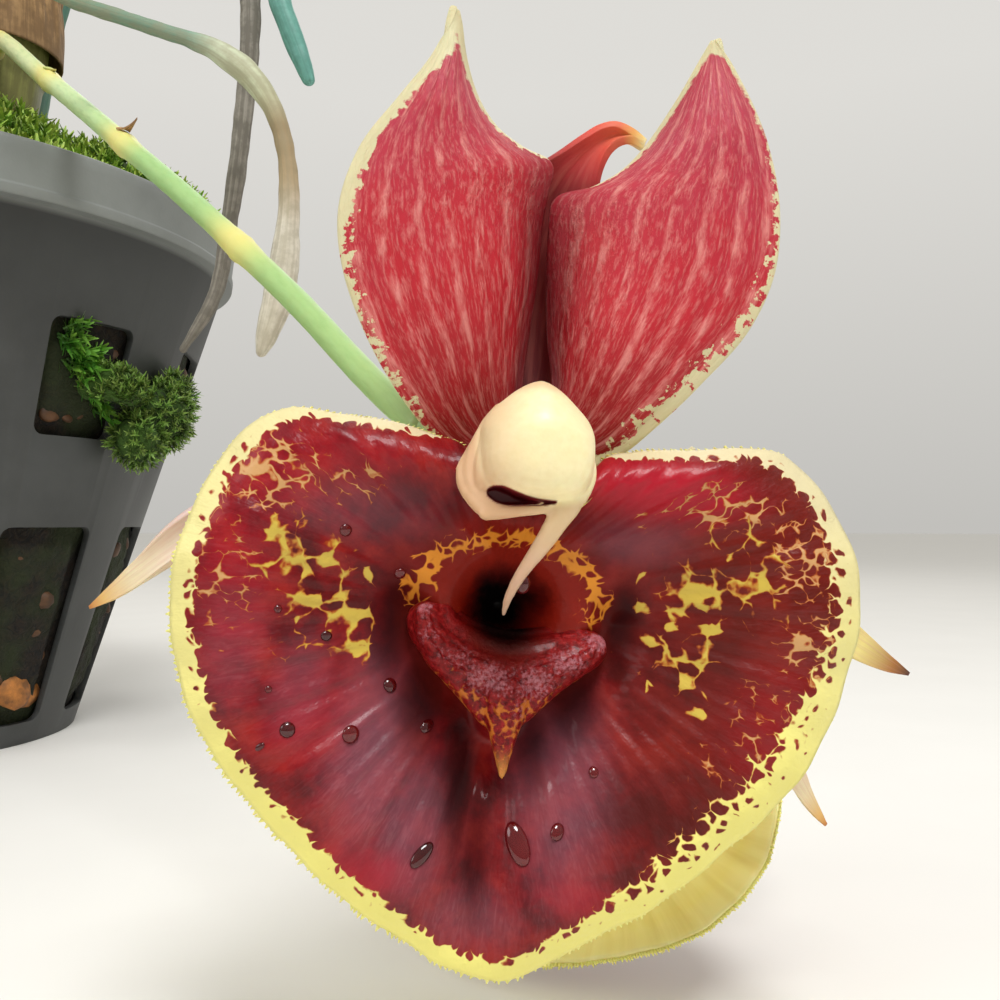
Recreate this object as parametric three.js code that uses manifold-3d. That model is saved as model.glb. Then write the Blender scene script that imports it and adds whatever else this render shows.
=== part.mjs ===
// Catasetum orchid with two open flowers, growing in a slotted plastic net basket.
// Millimetres, +Z up, the front towards -Y. The origin is the centre of the basket's underside.

import * as THREE from 'three';
import { mergeVertices } from 'three/addons/utils/BufferGeometryUtils.js';
import Module from 'manifold-3d';

const wasm = await Module();
wasm.setup();

const DEG = Math.PI / 180;

// Driving dimensions

const GAP = 0.3;
const BASKET = {
  height: 140,
  rimRadius: 90,
  rimBand: 13,
  wallTopRadius: 86.5,
  baseRadius: 46,
  wall: 2.2,
  floor: 2.4,
  sides: 40,
  columns: 10,
  firstColumn: -27 * DEG,
  rows: [
    { low: 6, high: 56, halfWidth: 11.5 * DEG },
    { low: 78, high: 105, halfWidth: 8.6 * DEG },
  ],
  windowCorner: 2.5,
  drainInner: 17,
  drainOuter: 39,
  drainWidth: 5,
};
const BED = { crown: 171, rimLevel: 137, bulge: 1.6, lump: 1.2, side: 0.4, floor: 0.4 };
const TUFT = { angle: -10 * DEG, level: 85, proud: 5, radius: 11.5 };
const BULBS = [
  { name: 'lead', foot: [22, 4], lean: [2, -2], height: 126, radius: 16 },
  { name: 'middle', foot: [-22, 26], lean: [-5, 6], height: 106, radius: 14.5 },
  { name: 'old', foot: [-34, -16], lean: [-8, -6], height: 88, radius: 13 },
];
const BULB = { footLevel: 158, steps: 15, sides: 12, scars: 5, scarHeight: 0.7 };
const SPINE = { count: 4, spacing: 93 * DEG, from: 0.9, lean: 3.4, rootRadius: 1.6, tipRadius: 0.35 };
const SHEATH = {
  thickness: 0.8,
  clearance: 1.15,
  sides: 12,
  rings: 4,
  from: 0.24,
  to: 0.6,
  lowFlare: 2.4,
  highFlare: 1.2,
};
const STEM = { baseRadius: 3.15, tipRadius: 2.3, pedicelRadius: 1.7, steps: 28, sides: 8 };
const ROOT = { steps: 24, sides: 7 };
const LIP = {
  sacCentre: [0, -15],
  sacDepth: -16,
  thickness: 1.4,
  margin: 0.9,
  tooth: 0.8,
  toothFrom: 176 * DEG,
  toothTo: 330 * DEG,
};
const PETAL_THICKNESS = 0.9;
const SEPAL_THICKNESS = 1.0;
const HUB = { radius: 3.9, back: -13, front: -3.6 };

// Finishes

const finish = (color, roughness) => new THREE.MeshStandardMaterial({ color, roughness, metalness: 0 });
const FINISH = {
  basket: finish('#55585a', 0.55),
  moss: finish('#4f7424', 0.95),
  bulb: finish('#8c8050', 0.6),
  sheath: finish('#b89468', 0.85),
  stem: finish('#a8cc84', 0.45),
  rootGrey: finish('#8f8c86', 0.8),
  rootPale: finish('#c9bfa8', 0.8),
  rootTeal: finish('#5f9a8c', 0.7),
  lip: finish('#7a141a', 0.3),
  petal: finish('#b3304a', 0.5),
  sepal: finish('#dba58c', 0.5),
  column: finish('#f8e8b8', 0.4),
};

// Shape helpers

/** Smooth function through [x, y] pairs given in rising x. */
function through(pairs) {
  const last = pairs.length - 1;
  const slope = pairs.map((_, i) => {
    const before = pairs[Math.max(i - 1, 0)];
    const after = pairs[Math.min(i + 1, last)];
    return (after[1] - before[1]) / (after[0] - before[0]);
  });
  return (x) => {
    if (x <= pairs[0][0]) return pairs[0][1];
    if (x >= pairs[last][0]) return pairs[last][1];
    const i = pairs.findIndex((pair) => pair[0] > x) - 1;
    const span = pairs[i + 1][0] - pairs[i][0];
    const t = (x - pairs[i][0]) / span;
    const start = pairs[i][1] * (1 + 2 * t) * (1 - t) ** 2 + slope[i] * span * t * (1 - t) ** 2;
    const end = pairs[i + 1][1] * t * t * (3 - 2 * t) + slope[i + 1] * span * t * t * (t - 1);
    return start + end;
  };
}

/** 0 below the first limit, 1 above the second, smooth between them. */
function ramp(low, high, x) {
  return THREE.MathUtils.smoothstep(x, low, high);
}

function indexedGeometry(points, faces) {
  const geometry = new THREE.BufferGeometry();
  const flat = points.flatMap((point) => [point.x, point.y, point.z]);
  geometry.setAttribute('position', new THREE.Float32BufferAttribute(flat, 3));
  geometry.setIndex(faces.flat());
  return geometry;
}

/** A solid for cutting and joining, from any closed geometry. */
function solidOf(geometry) {
  const bare = geometry.clone();
  bare.deleteAttribute('normal');
  bare.deleteAttribute('uv');
  const merged = mergeVertices(bare, 1e-4);
  return new wasm.Manifold(new wasm.Mesh({
    numProp: 3,
    vertProperties: Float32Array.from(merged.attributes.position.array),
    triVerts: Uint32Array.from(merged.index.array),
  }));
}

function geometryOf(solid) {
  const mesh = solid.getMesh();
  const geometry = new THREE.BufferGeometry();
  geometry.setAttribute('position', new THREE.BufferAttribute(mesh.vertProperties, 3));
  geometry.setIndex(new THREE.BufferAttribute(mesh.triVerts, 1));
  return geometry;
}

function joined(solids) {
  return solids.reduce((whole, solid) => whole.add(solid));
}

function sphere(radius, scale, centre, detail = 10) {
  const geometry = new THREE.SphereGeometry(radius, detail, Math.round(detail * 0.7));
  geometry.scale(...scale);
  geometry.translate(...centre);
  return solidOf(geometry);
}

function curveThrough(points) {
  return new THREE.CatmullRomCurve3(points.map((point) => new THREE.Vector3(...point)), false, 'centripetal');
}

/** A round or flattened rod along a curve, with its radius as a function of 0..1 along it. */
function rod(curve, radius, steps, sides, flatten = 1) {
  const frames = curve.computeFrenetFrames(steps);
  const points = [curve.getPointAt(0)];
  const faces = [];
  for (let step = 0; step <= steps; step++) {
    const centre = curve.getPointAt(step / steps);
    const reach = radius(step / steps);
    for (let side = 0; side < sides; side++) {
      const angle = (2 * Math.PI * side) / sides;
      points.push(centre.clone()
        .addScaledVector(frames.normals[step], reach * Math.cos(angle))
        .addScaledVector(frames.binormals[step], reach * Math.sin(angle) * flatten));
    }
  }
  points.push(curve.getPointAt(1));
  const at = (step, side) => 1 + step * sides + (side % sides);
  for (let side = 0; side < sides; side++) {
    faces.push([0, at(0, side + 1), at(0, side)]);
    faces.push([points.length - 1, at(steps, side), at(steps, side + 1)]);
    for (let step = 0; step < steps; step++) {
      faces.push([at(step, side), at(step, side + 1), at(step + 1, side + 1)]);
      faces.push([at(step, side), at(step + 1, side + 1), at(step + 1, side)]);
    }
  }
  return indexedGeometry(points, faces);
}

/** Unit normal of a surface given as a function of two numbers. */
function normalAt(surface, a, b) {
  const step = 1e-3;
  const alongA = surface(a + step, b).sub(surface(a - step, b));
  const alongB = surface(a, b + step).sub(surface(a, b - step));
  return alongA.cross(alongB).normalize();
}

/** A thin blade about a surface over 0..1 by 0..1, split into triangles alike on both faces. */
function blade(surface, rows, columns, thickness) {
  const points = [];
  const faces = [];
  const at = (face, row, column) => (face * (rows + 1) + row) * (columns + 1) + column;
  for (const side of [0.5, -0.5]) {
    for (let row = 0; row <= rows; row++) {
      for (let column = 0; column <= columns; column++) {
        const across = column / columns;
        const along = row / rows;
        const normal = normalAt(surface, across, along);
        points.push(surface(across, along).addScaledVector(normal, side * thickness));
      }
    }
  }
  for (let row = 0; row < rows; row++) {
    for (let column = 0; column < columns; column++) {
      const corners = [[row, column], [row, column + 1], [row + 1, column + 1], [row + 1, column]];
      const front = corners.map((corner) => at(0, ...corner));
      const back = corners.map((corner) => at(1, ...corner));
      faces.push([front[0], front[1], front[2]], [front[0], front[2], front[3]]);
      faces.push([back[0], back[2], back[1]], [back[0], back[3], back[2]]);
    }
  }
  const edge = [];
  for (let column = 0; column < columns; column++) edge.push([0, column]);
  for (let row = 0; row < rows; row++) edge.push([row, columns]);
  for (let column = columns; column > 0; column--) edge.push([rows, column]);
  for (let row = rows; row > 0; row--) edge.push([row, 0]);
  edge.forEach((here, i) => {
    const next = edge[(i + 1) % edge.length];
    faces.push([at(0, ...next), at(0, ...here), at(1, ...here)]);
    faces.push([at(0, ...next), at(1, ...here), at(1, ...next)]);
  });
  return indexedGeometry(points, faces);
}

const group = new THREE.Group();

function addPiece(parent, name, geometry, material) {
  const mesh = new THREE.Mesh(geometry, material.clone());
  mesh.name = name;
  parent.add(mesh);
}

// Basket

const wallTop = BASKET.height - BASKET.rimBand;

function wallRadius(level) {
  return BASKET.baseRadius + (BASKET.wallTopRadius - BASKET.baseRadius) * Math.min(level / wallTop, 1);
}

/** A turned body whose corners stand in line with the window columns. */
function turned(profile) {
  const geometry = new THREE.LatheGeometry(profile.map(([r, z]) => new THREE.Vector2(r, z)), BASKET.sides);
  geometry.rotateX(Math.PI / 2);
  geometry.rotateZ(BASKET.firstColumn);
  return solidOf(geometry);
}

/** A taper-sided window cutter with eased corners, from the axis out through the wall. */
function windowCutter({ low, high, halfWidth }, angle) {
  const halfLow = wallRadius(low) * Math.sin(halfWidth);
  const halfHigh = wallRadius(high) * Math.sin(halfWidth);
  const corner = BASKET.windowCorner;
  const outline = new THREE.Shape();
  outline.moveTo(-halfLow + corner, low);
  outline.lineTo(halfLow - corner, low);
  outline.quadraticCurveTo(halfLow, low, halfLow, low + corner);
  outline.lineTo(halfHigh, high - corner);
  outline.quadraticCurveTo(halfHigh, high, halfHigh - corner, high);
  outline.lineTo(-halfHigh + corner, high);
  outline.quadraticCurveTo(-halfHigh, high, -halfHigh, high - corner);
  outline.lineTo(-halfLow, low + corner);
  outline.quadraticCurveTo(-halfLow, low, -halfLow + corner, low);
  const geometry = new THREE.ExtrudeGeometry(outline, {
    depth: BASKET.rimRadius,
    bevelEnabled: false,
    curveSegments: 1,
  });
  geometry.rotateX(Math.PI / 2);
  geometry.translate(0, -BASKET.baseRadius / 2, 0);
  geometry.rotateZ(angle + Math.PI / 2);
  return solidOf(geometry);
}

function drainCutter(angle) {
  const length = BASKET.drainOuter - BASKET.drainInner;
  const geometry = new THREE.BoxGeometry(length, BASKET.drainWidth, BASKET.floor * 3);
  geometry.translate(BASKET.drainInner + length / 2, 0, 0);
  geometry.rotateZ(angle);
  return solidOf(geometry);
}

function basketSolid() {
  const { baseRadius, rimRadius, wallTopRadius, height, wall, floor } = BASKET;
  const shell = turned([
    [0, 0],
    [baseRadius, 0],
    [wallTopRadius, wallTop],
    [rimRadius - 0.8, wallTop],
    [rimRadius, height - 1.2],
    [rimRadius - 1.2, height],
    [wallTopRadius - wall, height],
    [wallTopRadius - wall, wallTop],
    [wallRadius(floor) - wall, floor],
    [0, floor],
  ]);
  const pitch = (2 * Math.PI) / BASKET.columns;
  let basket = shell;
  for (let column = 0; column < BASKET.columns; column++) {
    const angle = BASKET.firstColumn + column * pitch;
    for (const row of BASKET.rows) {
      basket = basket.subtract(windowCutter(row, angle));
    }
    basket = basket.subtract(drainCutter(angle));
  }
  return basket;
}

// Pseudobulbs, with one clearance-sized copy of each to bore its seat in the moss

function bulbAxis({ foot, lean, height }, drop = 0) {
  const level = BULB.footLevel;
  return curveThrough([
    [foot[0], foot[1], level - drop],
    [foot[0] + lean[0] * 0.35, foot[1] + lean[1] * 0.35, level + height * 0.4],
    [foot[0] + lean[0], foot[1] + lean[1], level + height],
  ]);
}

const bulbGirth = through([
  [0, 0.55], [0.06, 0.68], [0.16, 0.85], [0.32, 1], [0.52, 0.93],
  [0.7, 0.7], [0.85, 0.46], [0.95, 0.32], [1, 0.2],
]);

/** Radius of a bulb, with a low ring where each fallen leaf was joined. */
function bulbRadius(bulb, along) {
  const ring = Math.abs(((along * BULB.scars + 0.5) % 1) - 0.5);
  const scar = BULB.scarHeight * Math.max(0, 1 - ring * 8) * ramp(0.02, 0.1, along);
  return bulb.radius * bulbGirth(along) + scar;
}

function bulbSolid(bulb, extra) {
  const radius = (along) => bulbRadius(bulb, along) + extra;
  return solidOf(rod(bulbAxis(bulb, extra), radius, BULB.steps, BULB.sides));
}

/** Short spines left by the leaf bases at the top of a bulb. */
function bulbSpines(bulb) {
  const axis = bulbAxis(bulb);
  const top = axis.getPointAt(1);
  const spines = [];
  const radius = (t) => THREE.MathUtils.lerp(SPINE.rootRadius, SPINE.tipRadius, t);
  for (let spine = 0; spine < SPINE.count; spine++) {
    const angle = spine * SPINE.spacing + bulb.height;
    const root = axis.getPointAt(SPINE.from);
    const lean = [Math.cos(angle) * SPINE.lean, Math.sin(angle) * SPINE.lean];
    const tip = [top.x + lean[0] * 1.7, top.y + lean[1] * 1.7, top.z + 4 + spine * 1.5];
    const path = curveThrough([[root.x + lean[0] * 0.6, root.y + lean[1] * 0.6, root.z], tip]);
    spines.push(solidOf(rod(path, radius, 2, 5)));
  }
  return spines;
}

/** Dry papery leaf sheath standing round the middle of a bulb, with a torn upper edge. */
function sheathGeometry(bulb) {
  const axis = bulbAxis(bulb);
  const { sides, rings, thickness, clearance, from, to, lowFlare, highFlare } = SHEATH;
  const points = [];
  const faces = [];
  for (let face = 0; face < 2; face++) {
    for (let ring = 0; ring <= rings; ring++) {
      for (let side = 0; side < sides; side++) {
        const angle = (2 * Math.PI * side) / sides;
        const torn = 0.05 * Math.sin(angle * 2 + bulb.height) + 0.03 * Math.sin(angle * 5);
        const along = from + (to + torn - from) * (ring / rings);
        const spread = lowFlare * Math.max(1 - ring / 1.6, 0) + highFlare * ramp(0.75, 1, ring / rings);
        const reach = bulbRadius(bulb, along) + clearance + spread + (face ? 0 : thickness);
        const centre = axis.getPointAt(along);
        points.push(new THREE.Vector3(
          centre.x + reach * Math.cos(angle), centre.y + reach * Math.sin(angle), centre.z));
      }
    }
  }
  const at = (face, ring, side) => (face * (rings + 1) + ring) * sides + (side % sides);
  for (let side = 0; side < sides; side++) {
    for (let ring = 0; ring < rings; ring++) {
      faces.push([at(0, ring, side), at(0, ring, side + 1), at(0, ring + 1, side + 1)]);
      faces.push([at(0, ring, side), at(0, ring + 1, side + 1), at(0, ring + 1, side)]);
      faces.push([at(1, ring, side), at(1, ring + 1, side + 1), at(1, ring, side + 1)]);
      faces.push([at(1, ring, side), at(1, ring + 1, side), at(1, ring + 1, side + 1)]);
    }
    faces.push([at(0, 0, side), at(1, 0, side), at(1, 0, side + 1)]);
    faces.push([at(0, 0, side), at(1, 0, side + 1), at(0, 0, side + 1)]);
    faces.push([at(0, rings, side), at(0, rings, side + 1), at(1, rings, side + 1)]);
    faces.push([at(0, rings, side), at(1, rings, side + 1), at(1, rings, side)]);
  }
  return indexedGeometry(points, faces);
}

// Aerial roots, from the moss out over the rim and down beside the basket

const ROOTS = [
  {
    finish: 'rootGrey',
    radius: through([[0, 2.2], [0.3, 2.3], [0.75, 2.1], [0.96, 1.5], [1, 0.7]]),
    path: [
      [8, 30, 160], [10, 36, 190], [20, 36, 218], [42, 20, 234], [70, -12, 234], [96, -45, 214],
      [110.8, -62.5, 188], [114.2, -65.4, 166], [113, -64.9, 145.8], [109.9, -64.3, 121.6],
      [106.6, -63.9, 105], [99.6, -63.6, 93],
    ],
  },
  {
    finish: 'rootPale',
    radius: through([
      [0, 1.4], [0.64, 1.5], [0.69, 2.4], [0.75, 1.9], [0.84, 2.2], [0.93, 3.4], [0.98, 2], [1, 0.8],
    ]),
    path: [
      [-3, 12, 159], [-8, 2, 178], [-4, -18, 196], [14, -38, 201], [40, -54, 191], [62, -70, 173],
      [80.8, -80.2, 160], [98.4, -80.1, 154], [112, -79.9, 149], [119.6, -79.8, 142.5], [123.9, -79.7, 134],
      [125.5, -79.4, 124], [125.3, -79.2, 114], [123.6, -78.9, 101.5], [119.8, -78.5, 89.5],
    ],
  },
  {
    finish: 'rootTeal',
    radius: through([[0, 1.7], [0.5, 1.8], [0.85, 2.3], [0.97, 2.1], [1, 1.2]]),
    path: [
      [20, 34, 160], [20, 42, 192], [27, 42, 226], [50, 24, 250], [84, -14, 250], [107, -47, 224],
      [118.2, -65, 189], [121.4, -70.3, 165], [125.2, -70.1, 154.3], [127.9, -69.9, 147.1],
    ],
  },
];

function rootSolid({ path, radius }, extra) {
  const [[x, y, level], ...rest] = path;
  const curve = curveThrough([[x, y, level - extra], ...rest]);
  return solidOf(rod(curve, (t) => radius(t) + extra, ROOT.steps, ROOT.sides));
}

// Moss bed

/** Level of the mound at a distance from the axis. */
const moundLevel = through([
  [0, BED.crown], [20, 170.5], [36, 169.5], [52, 167.5], [64, 163.5],
  [72, 158.5], [78, 152], [83.4, BED.rimLevel],
]);

function moundLump(x, y) {
  return BED.lump * (Math.sin(x * 0.19 + 1.3) * Math.cos(y * 0.17) + 0.6 * Math.sin(x * 0.31 - y * 0.27));
}

function innerRadius(level) {
  return wallRadius(level) - BASKET.wall;
}

/** The planting mix: it fills the basket, bulges into the windows and is heaped above the rim. */
function bedCore() {
  const { sides, rows, floor } = BASKET;
  const columnPitch = (2 * Math.PI) / sides;
  const rings = [{ level: floor + BED.floor, bulge: 0 }];
  for (const { low, high, halfWidth } of rows) {
    const bulgingSides = Math.floor(halfWidth / columnPitch / 1.3);
    for (const [share, bulge] of [[0, 0], [0.25, 1], [0.75, 1], [1, 0]]) {
      rings.push({ level: low + (high - low) * share, bulge: bulge * BED.bulge, bulgingSides });
    }
  }
  rings.push({ level: wallTop - 1, bulge: 0 }, { level: BED.rimLevel, bulge: 0 });
  for (const radius of [79.5, 73, 62, 44, 22]) rings.push({ radius });
  const points = [new THREE.Vector3(0, 0, floor + BED.floor)];
  const perColumn = sides / BASKET.columns;
  for (const ring of rings) {
    for (let side = 0; side < sides; side++) {
      const angle = BASKET.firstColumn + (2 * Math.PI * side) / sides;
      const offCentre = Math.min(side % perColumn, perColumn - (side % perColumn));
      const swell = offCentre <= ring.bulgingSides ? ring.bulge : 0;
      const reach = ring.radius ?? innerRadius(Math.min(ring.level, wallTop)) - BED.side + swell;
      const x = reach * Math.cos(angle);
      const y = reach * Math.sin(angle);
      points.push(new THREE.Vector3(x, y, ring.level ?? moundLevel(ring.radius) + moundLump(x, y)));
    }
  }
  points.push(new THREE.Vector3(0, 0, BED.crown + moundLump(0, 0)));
  const faces = [];
  const last = rings.length - 1;
  const at = (ring, side) => 1 + ring * sides + (side % sides);
  for (let side = 0; side < sides; side++) {
    faces.push([0, at(0, side + 1), at(0, side)]);
    faces.push([points.length - 1, at(last, side), at(last, side + 1)]);
    for (let ring = 0; ring < last; ring++) {
      faces.push([at(ring, side), at(ring, side + 1), at(ring + 1, side + 1)]);
      faces.push([at(ring, side), at(ring + 1, side + 1), at(ring + 1, side)]);
    }
  }
  return solidOf(indexedGeometry(points, faces));
}

/** Clump of moss that has grown out through a window and spread over the rib beside it. */
function tuftSolid() {
  const { angle, level, proud, radius } = TUFT;
  const reach = wallRadius(level) + proud;
  const place = (turn, out, up) => [out * Math.cos(turn), out * Math.sin(turn), up];
  const clump = joined([
    sphere(radius, [0.8, 0.8, 1.02], place(angle, reach, level), 10),
    sphere(radius * 0.62, [1, 1, 0.9], place(angle - 7 * DEG, reach + 0.5, level - 7), 8),
    sphere(radius * 0.6, [1, 1, 0.9], place(angle + 4 * DEG, reach + 1, level + 6), 8),
  ]);
  const keepOut = turned([
    [0, 0],
    [BASKET.baseRadius + GAP + 0.1, 0],
    [BASKET.wallTopRadius + GAP + 0.1, wallTop],
    [0, wallTop],
  ]);
  const windowSide = BASKET.firstColumn + 2.5 * DEG;
  const neck = solidOf(rod(curveThrough([
    place(windowSide, innerRadius(91) - 6, 91),
    place(windowSide, wallRadius(91) + 3, 91),
    place(windowSide + 7 * DEG, wallRadius(90) + 7, 89),
  ]), () => 4.3, 3, 8));
  return clump.subtract(keepOut).add(neck);
}

/** Leafy sprig across the window beside the tuft. */
function sprigSolid() {
  const leaves = [];
  const count = 8;
  for (let leaf = 0; leaf < count; leaf++) {
    const share = leaf / (count - 1);
    const turn = BASKET.firstColumn + (-5 + 8.5 * share) * DEG;
    const level = 99 - 8 * share + 2.6 * (leaf % 2 ? 1 : -1);
    const out = innerRadius(level) + 0.6;
    const geometry = new THREE.SphereGeometry(1, 6, 4);
    geometry.scale(1.1, 1.3, 4.2);
    geometry.rotateY(50 * DEG);
    geometry.rotateX((leaf % 2 ? -28 : 28) * DEG);
    geometry.rotateZ(turn);
    geometry.translate(out * Math.cos(turn), out * Math.sin(turn), level);
    leaves.push(solidOf(geometry));
  }
  return leaves;
}

function mossBedSolid() {
  const seats = [
    ...BULBS.map((bulb) => bulbSolid(bulb, GAP + 0.05)),
    ...ROOTS.map((root) => rootSolid(root, GAP + 0.05)),
  ];
  return joined([bedCore(), tuftSolid(), ...sprigSolid()]).subtract(joined(seats));
}

// Flower stem: one arching stalk with a short flower stalk to each bloom

const STALK = [
  [30.8, -9, 183.2], [36.8, -18.2, 182.2], [60, -44.6, 161.4], [79.2, -66, 144],
  [95.4, -84.3, 129], [112.1, -103, 113.6],
  [125.8, -118.4, 100.4], [139, -133.5, 87.3], [150.7, -147.6, 74.7], [158.2, -156, 67.4],
];
const REAR_STALK = [[157.4, -155.2, 68], [164, -149.5, 60.5], [173.5, -146.5, 48.5], [180, -145.6, 42]];
const NODES_ALONG = [0.09, 0.33, 0.66];
const BRACT = { length: 9, radius: 1.1 };

function stalkRadius(along) {
  const swell = NODES_ALONG.reduce((sum, node) => sum + Math.exp(-(((along - node) / 0.022) ** 2)), 0);
  return STEM.baseRadius + (STEM.tipRadius - STEM.baseRadius) * along + 0.35 * swell;
}

function stemSolid(frontSeat, rearSeat) {
  const stalk = curveThrough(STALK);
  const pieces = [solidOf(rod(stalk, stalkRadius, STEM.steps, STEM.sides))];
  for (const node of [...NODES_ALONG.slice(1), 0.985]) {
    const root = stalk.getPointAt(node);
    const next = stalk.getPointAt(Math.min(node + 0.04, 1));
    const side = new THREE.Vector3(0.35, -0.4, 0.85).multiplyScalar(BRACT.length * 0.45);
    const tip = next.clone().sub(root).setLength(BRACT.length).add(root).add(side);
    const middle = root.clone().lerp(tip, 0.5).addScaledVector(side, 0.2);
    const path = new THREE.CatmullRomCurve3([root, middle, tip]);
    pieces.push(solidOf(rod(path, (t) => BRACT.radius * (1 - 0.85 * t) + 0.25, 3, 5, 0.6)));
  }
  const pedicel = (points, seat) => {
    const [end, before] = seat;
    const curve = curveThrough([...points, before.toArray(), end.toArray()]);
    const radius = (t) => STEM.pedicelRadius + 0.6 * ramp(0, 1, t);
    return solidOf(rod(curve, radius, 8, 7));
  };
  pieces.push(pedicel([[156.6, -154.4, 68.6], [161.5, -157, 66.6]], frontSeat));
  pieces.push(pedicel(REAR_STALK, rearSeat));
  return joined(pieces);
}

// Blooms. Each is drawn in its own frame: x to the viewer's right, y up, z towards the viewer,
// with the origin at the heart of the flower and z = 0 at the plane of the lip's margin.

const lipNotch = [[0, -4.05], [3.2, -3.9], [5.4, -2.2], [7, 0]];
const lipLeft = [
  [10, 0.9], [19.3, 2], [24.5, 2.1], [28.9, -0.9], [32.3, -8.6], [33.4, -17.2], [31.4, -25.5],
  [26.5, -33.2], [18.7, -40.8], [9.9, -47.2], [4.2, -50], [0, -50.9],
];
const lipRight = [
  [10.2, 1.1], [16.2, 1.8], [21.3, 2.5], [26.2, 2.1], [32.3, -4.3], [34, -13.5], [32.1, -24],
  [27.7, -31.8], [18.7, -40.6], [9.2, -47], [4, -50], [0, -50.9],
];

/** Distance from the sac's axis to the margin, by the angle from the flower's upward line. */
function reachOf(outline) {
  const [centreX, centreY] = LIP.sacCentre;
  return through(outline.map(([x, y]) =>
    [Math.atan2(x - centreX, y - centreY), Math.hypot(x - centreX, y - centreY)]));
}

const lipReachLeft = reachOf([...lipNotch, ...lipLeft]);
const lipReachRight = reachOf([...lipNotch, ...lipRight]);

/** Depth of the lip by its share of the way from the sac's floor to the margin. */
const lipDepth = through([
  [0, LIP.sacDepth], [0.07, LIP.sacDepth + 0.7], [0.13, -12.2], [0.19, -8.2], [0.27, -6.6], [0.42, -5.2],
  [0.6, -2.2], [0.78, 0.1], [0.9, 0.2], [1, -1.4],
]);

function lipSurface(share, angle) {
  const fromTop = Math.acos(THREE.MathUtils.clamp(Math.sin(angle), -1, 1));
  const reach = share * (Math.cos(angle) < 0 ? lipReachLeft(fromTop) : lipReachRight(fromTop));
  const x = LIP.sacCentre[0] + reach * Math.cos(angle);
  const y = LIP.sacCentre[1] + reach * Math.sin(angle);
  const shoulders = -2.6 * ramp(-14, 2, y) * share ** 3;
  const valley = -1.6 * Math.exp(-((x / 4.5) ** 2)) * ramp(-26, -36, y) * ramp(1, 0.75, share);
  const ruffle = 0.35 * Math.sin(angle * 11) * share ** 6;
  return new THREE.Vector3(x, y, lipDepth(share) + shoulders + valley + ruffle);
}

/** The lip's dish, as rings round the sac that halve their points towards the middle. */
function lipDish(marginPoints) {
  const rings = [
    [1, 1], [0.94, 2], [0.77, 2], [0.57, 4], [0.41, 4], [0.27, 4], [0.17, 8], [0.1, 8],
  ].map(([share, divisor]) => [share, marginPoints / divisor]);
  const points = [];
  const faces = [];
  const starts = [];
  for (const face of [0, 1]) {
    for (const [share, count] of rings) {
      starts.push(points.length);
      for (let i = 0; i < count; i++) {
        const angle = Math.PI / 2 + (2 * Math.PI * i) / count;
        const turn = (angle + 2 * Math.PI) % (2 * Math.PI);
        const toothed = share === 1 && i % 2 && turn > LIP.toothFrom && turn < LIP.toothTo;
        const point = lipSurface(share, angle);
        if (share === 1) {
          const step = toothed ? LIP.tooth * 0.4 : -LIP.tooth * 0.3;
          point.x += step * Math.cos(angle);
          point.y += step * Math.sin(angle);
        }
        const normal = normalAt(lipSurface, share === 1 ? 0.995 : share, angle);
        const depth = THREE.MathUtils.lerp(LIP.thickness, LIP.margin, ramp(0.8, 1, share));
        points.push(face ? point.addScaledVector(normal, -depth) : point);
      }
    }
    starts.push(points.length);
    points.push(new THREE.Vector3(...LIP.sacCentre, LIP.sacDepth - (face ? LIP.thickness : 0)));
  }
  const perFace = rings.length + 1;
  const add = (face, a, b, c) => faces.push(face ? [a, c, b] : [a, b, c]);
  for (const face of [0, 1]) {
    for (let ring = 0; ring < rings.length; ring++) {
      const outer = starts[face * perFace + ring];
      const inner = starts[face * perFace + ring + 1];
      const count = rings[ring][1];
      const innerCount = rings[ring + 1]?.[1] ?? 1;
      const ratio = count / innerCount;
      for (let i = 0; i < innerCount; i++) {
        if (innerCount === 1) {
          for (let j = 0; j < count; j++) add(face, inner, outer + j, outer + ((j + 1) % count));
        } else if (ratio === 2) {
          const next = inner + ((i + 1) % innerCount);
          add(face, inner + i, outer + 2 * i, outer + 2 * i + 1);
          add(face, inner + i, outer + 2 * i + 1, next);
          add(face, next, outer + 2 * i + 1, outer + ((2 * i + 2) % count));
        } else {
          const next = (i + 1) % count;
          add(face, inner + i, outer + i, outer + next);
          add(face, inner + i, outer + next, inner + next);
        }
      }
    }
  }
  const back = starts[perFace];
  const count = rings[0][1];
  for (let i = 0; i < count; i++) {
    const next = (i + 1) % count;
    faces.push([i, back + i, back + next], [i, back + next, next]);
  }
  return solidOf(indexedGeometry(points, faces));
}

/** Warty ridge round the lower side of the sac's mouth, with its downward tooth. */
function callusSolid() {
  const ridge = curveThrough([
    [-9, -15.4, -6.1], [-8.4, -18.8, -5.6], [-5.2, -21.2, -5], [-0.7, -22.8, -4.6],
    [4.4, -21, -5], [7.4, -18.8, -5.6], [7.8, -16.5, -6.1],
  ]);
  const tooth = curveThrough([
    [-0.6, -21.4, -5.2], [-0.7, -25.2, -3], [-0.8, -28.8, -1.5], [-0.9, -31.3, -0.8],
  ]);
  return solidOf(rod(ridge, (t) => 1.4 + 0.9 * Math.sin(Math.PI * t), 12, 7, 1.7))
    .add(solidOf(rod(tooth, (t) => 3.1 * (1 - t) + 0.45, 4, 7)));
}

/** A blade between two outlines, each a smooth curve from base to tip. */
function petalSurface(inner, outer, depth) {
  const near = curveThrough(inner.map(([x, y]) => [x, y, 0]));
  const far = curveThrough(outer.map(([x, y]) => [x, y, 0]));
  return (across, along) => {
    const t = THREE.MathUtils.clamp(along, 0, 1);
    const point = near.getPoint(t).lerp(far.getPoint(t), across);
    if (along !== t) point.y += along - t;
    point.z = depth(across, t);
    return point;
  };
}

const petalArch = through([[0, -11.6], [0.35, -5.4], [0.7, -3.9], [1, -5.2]]);

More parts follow.
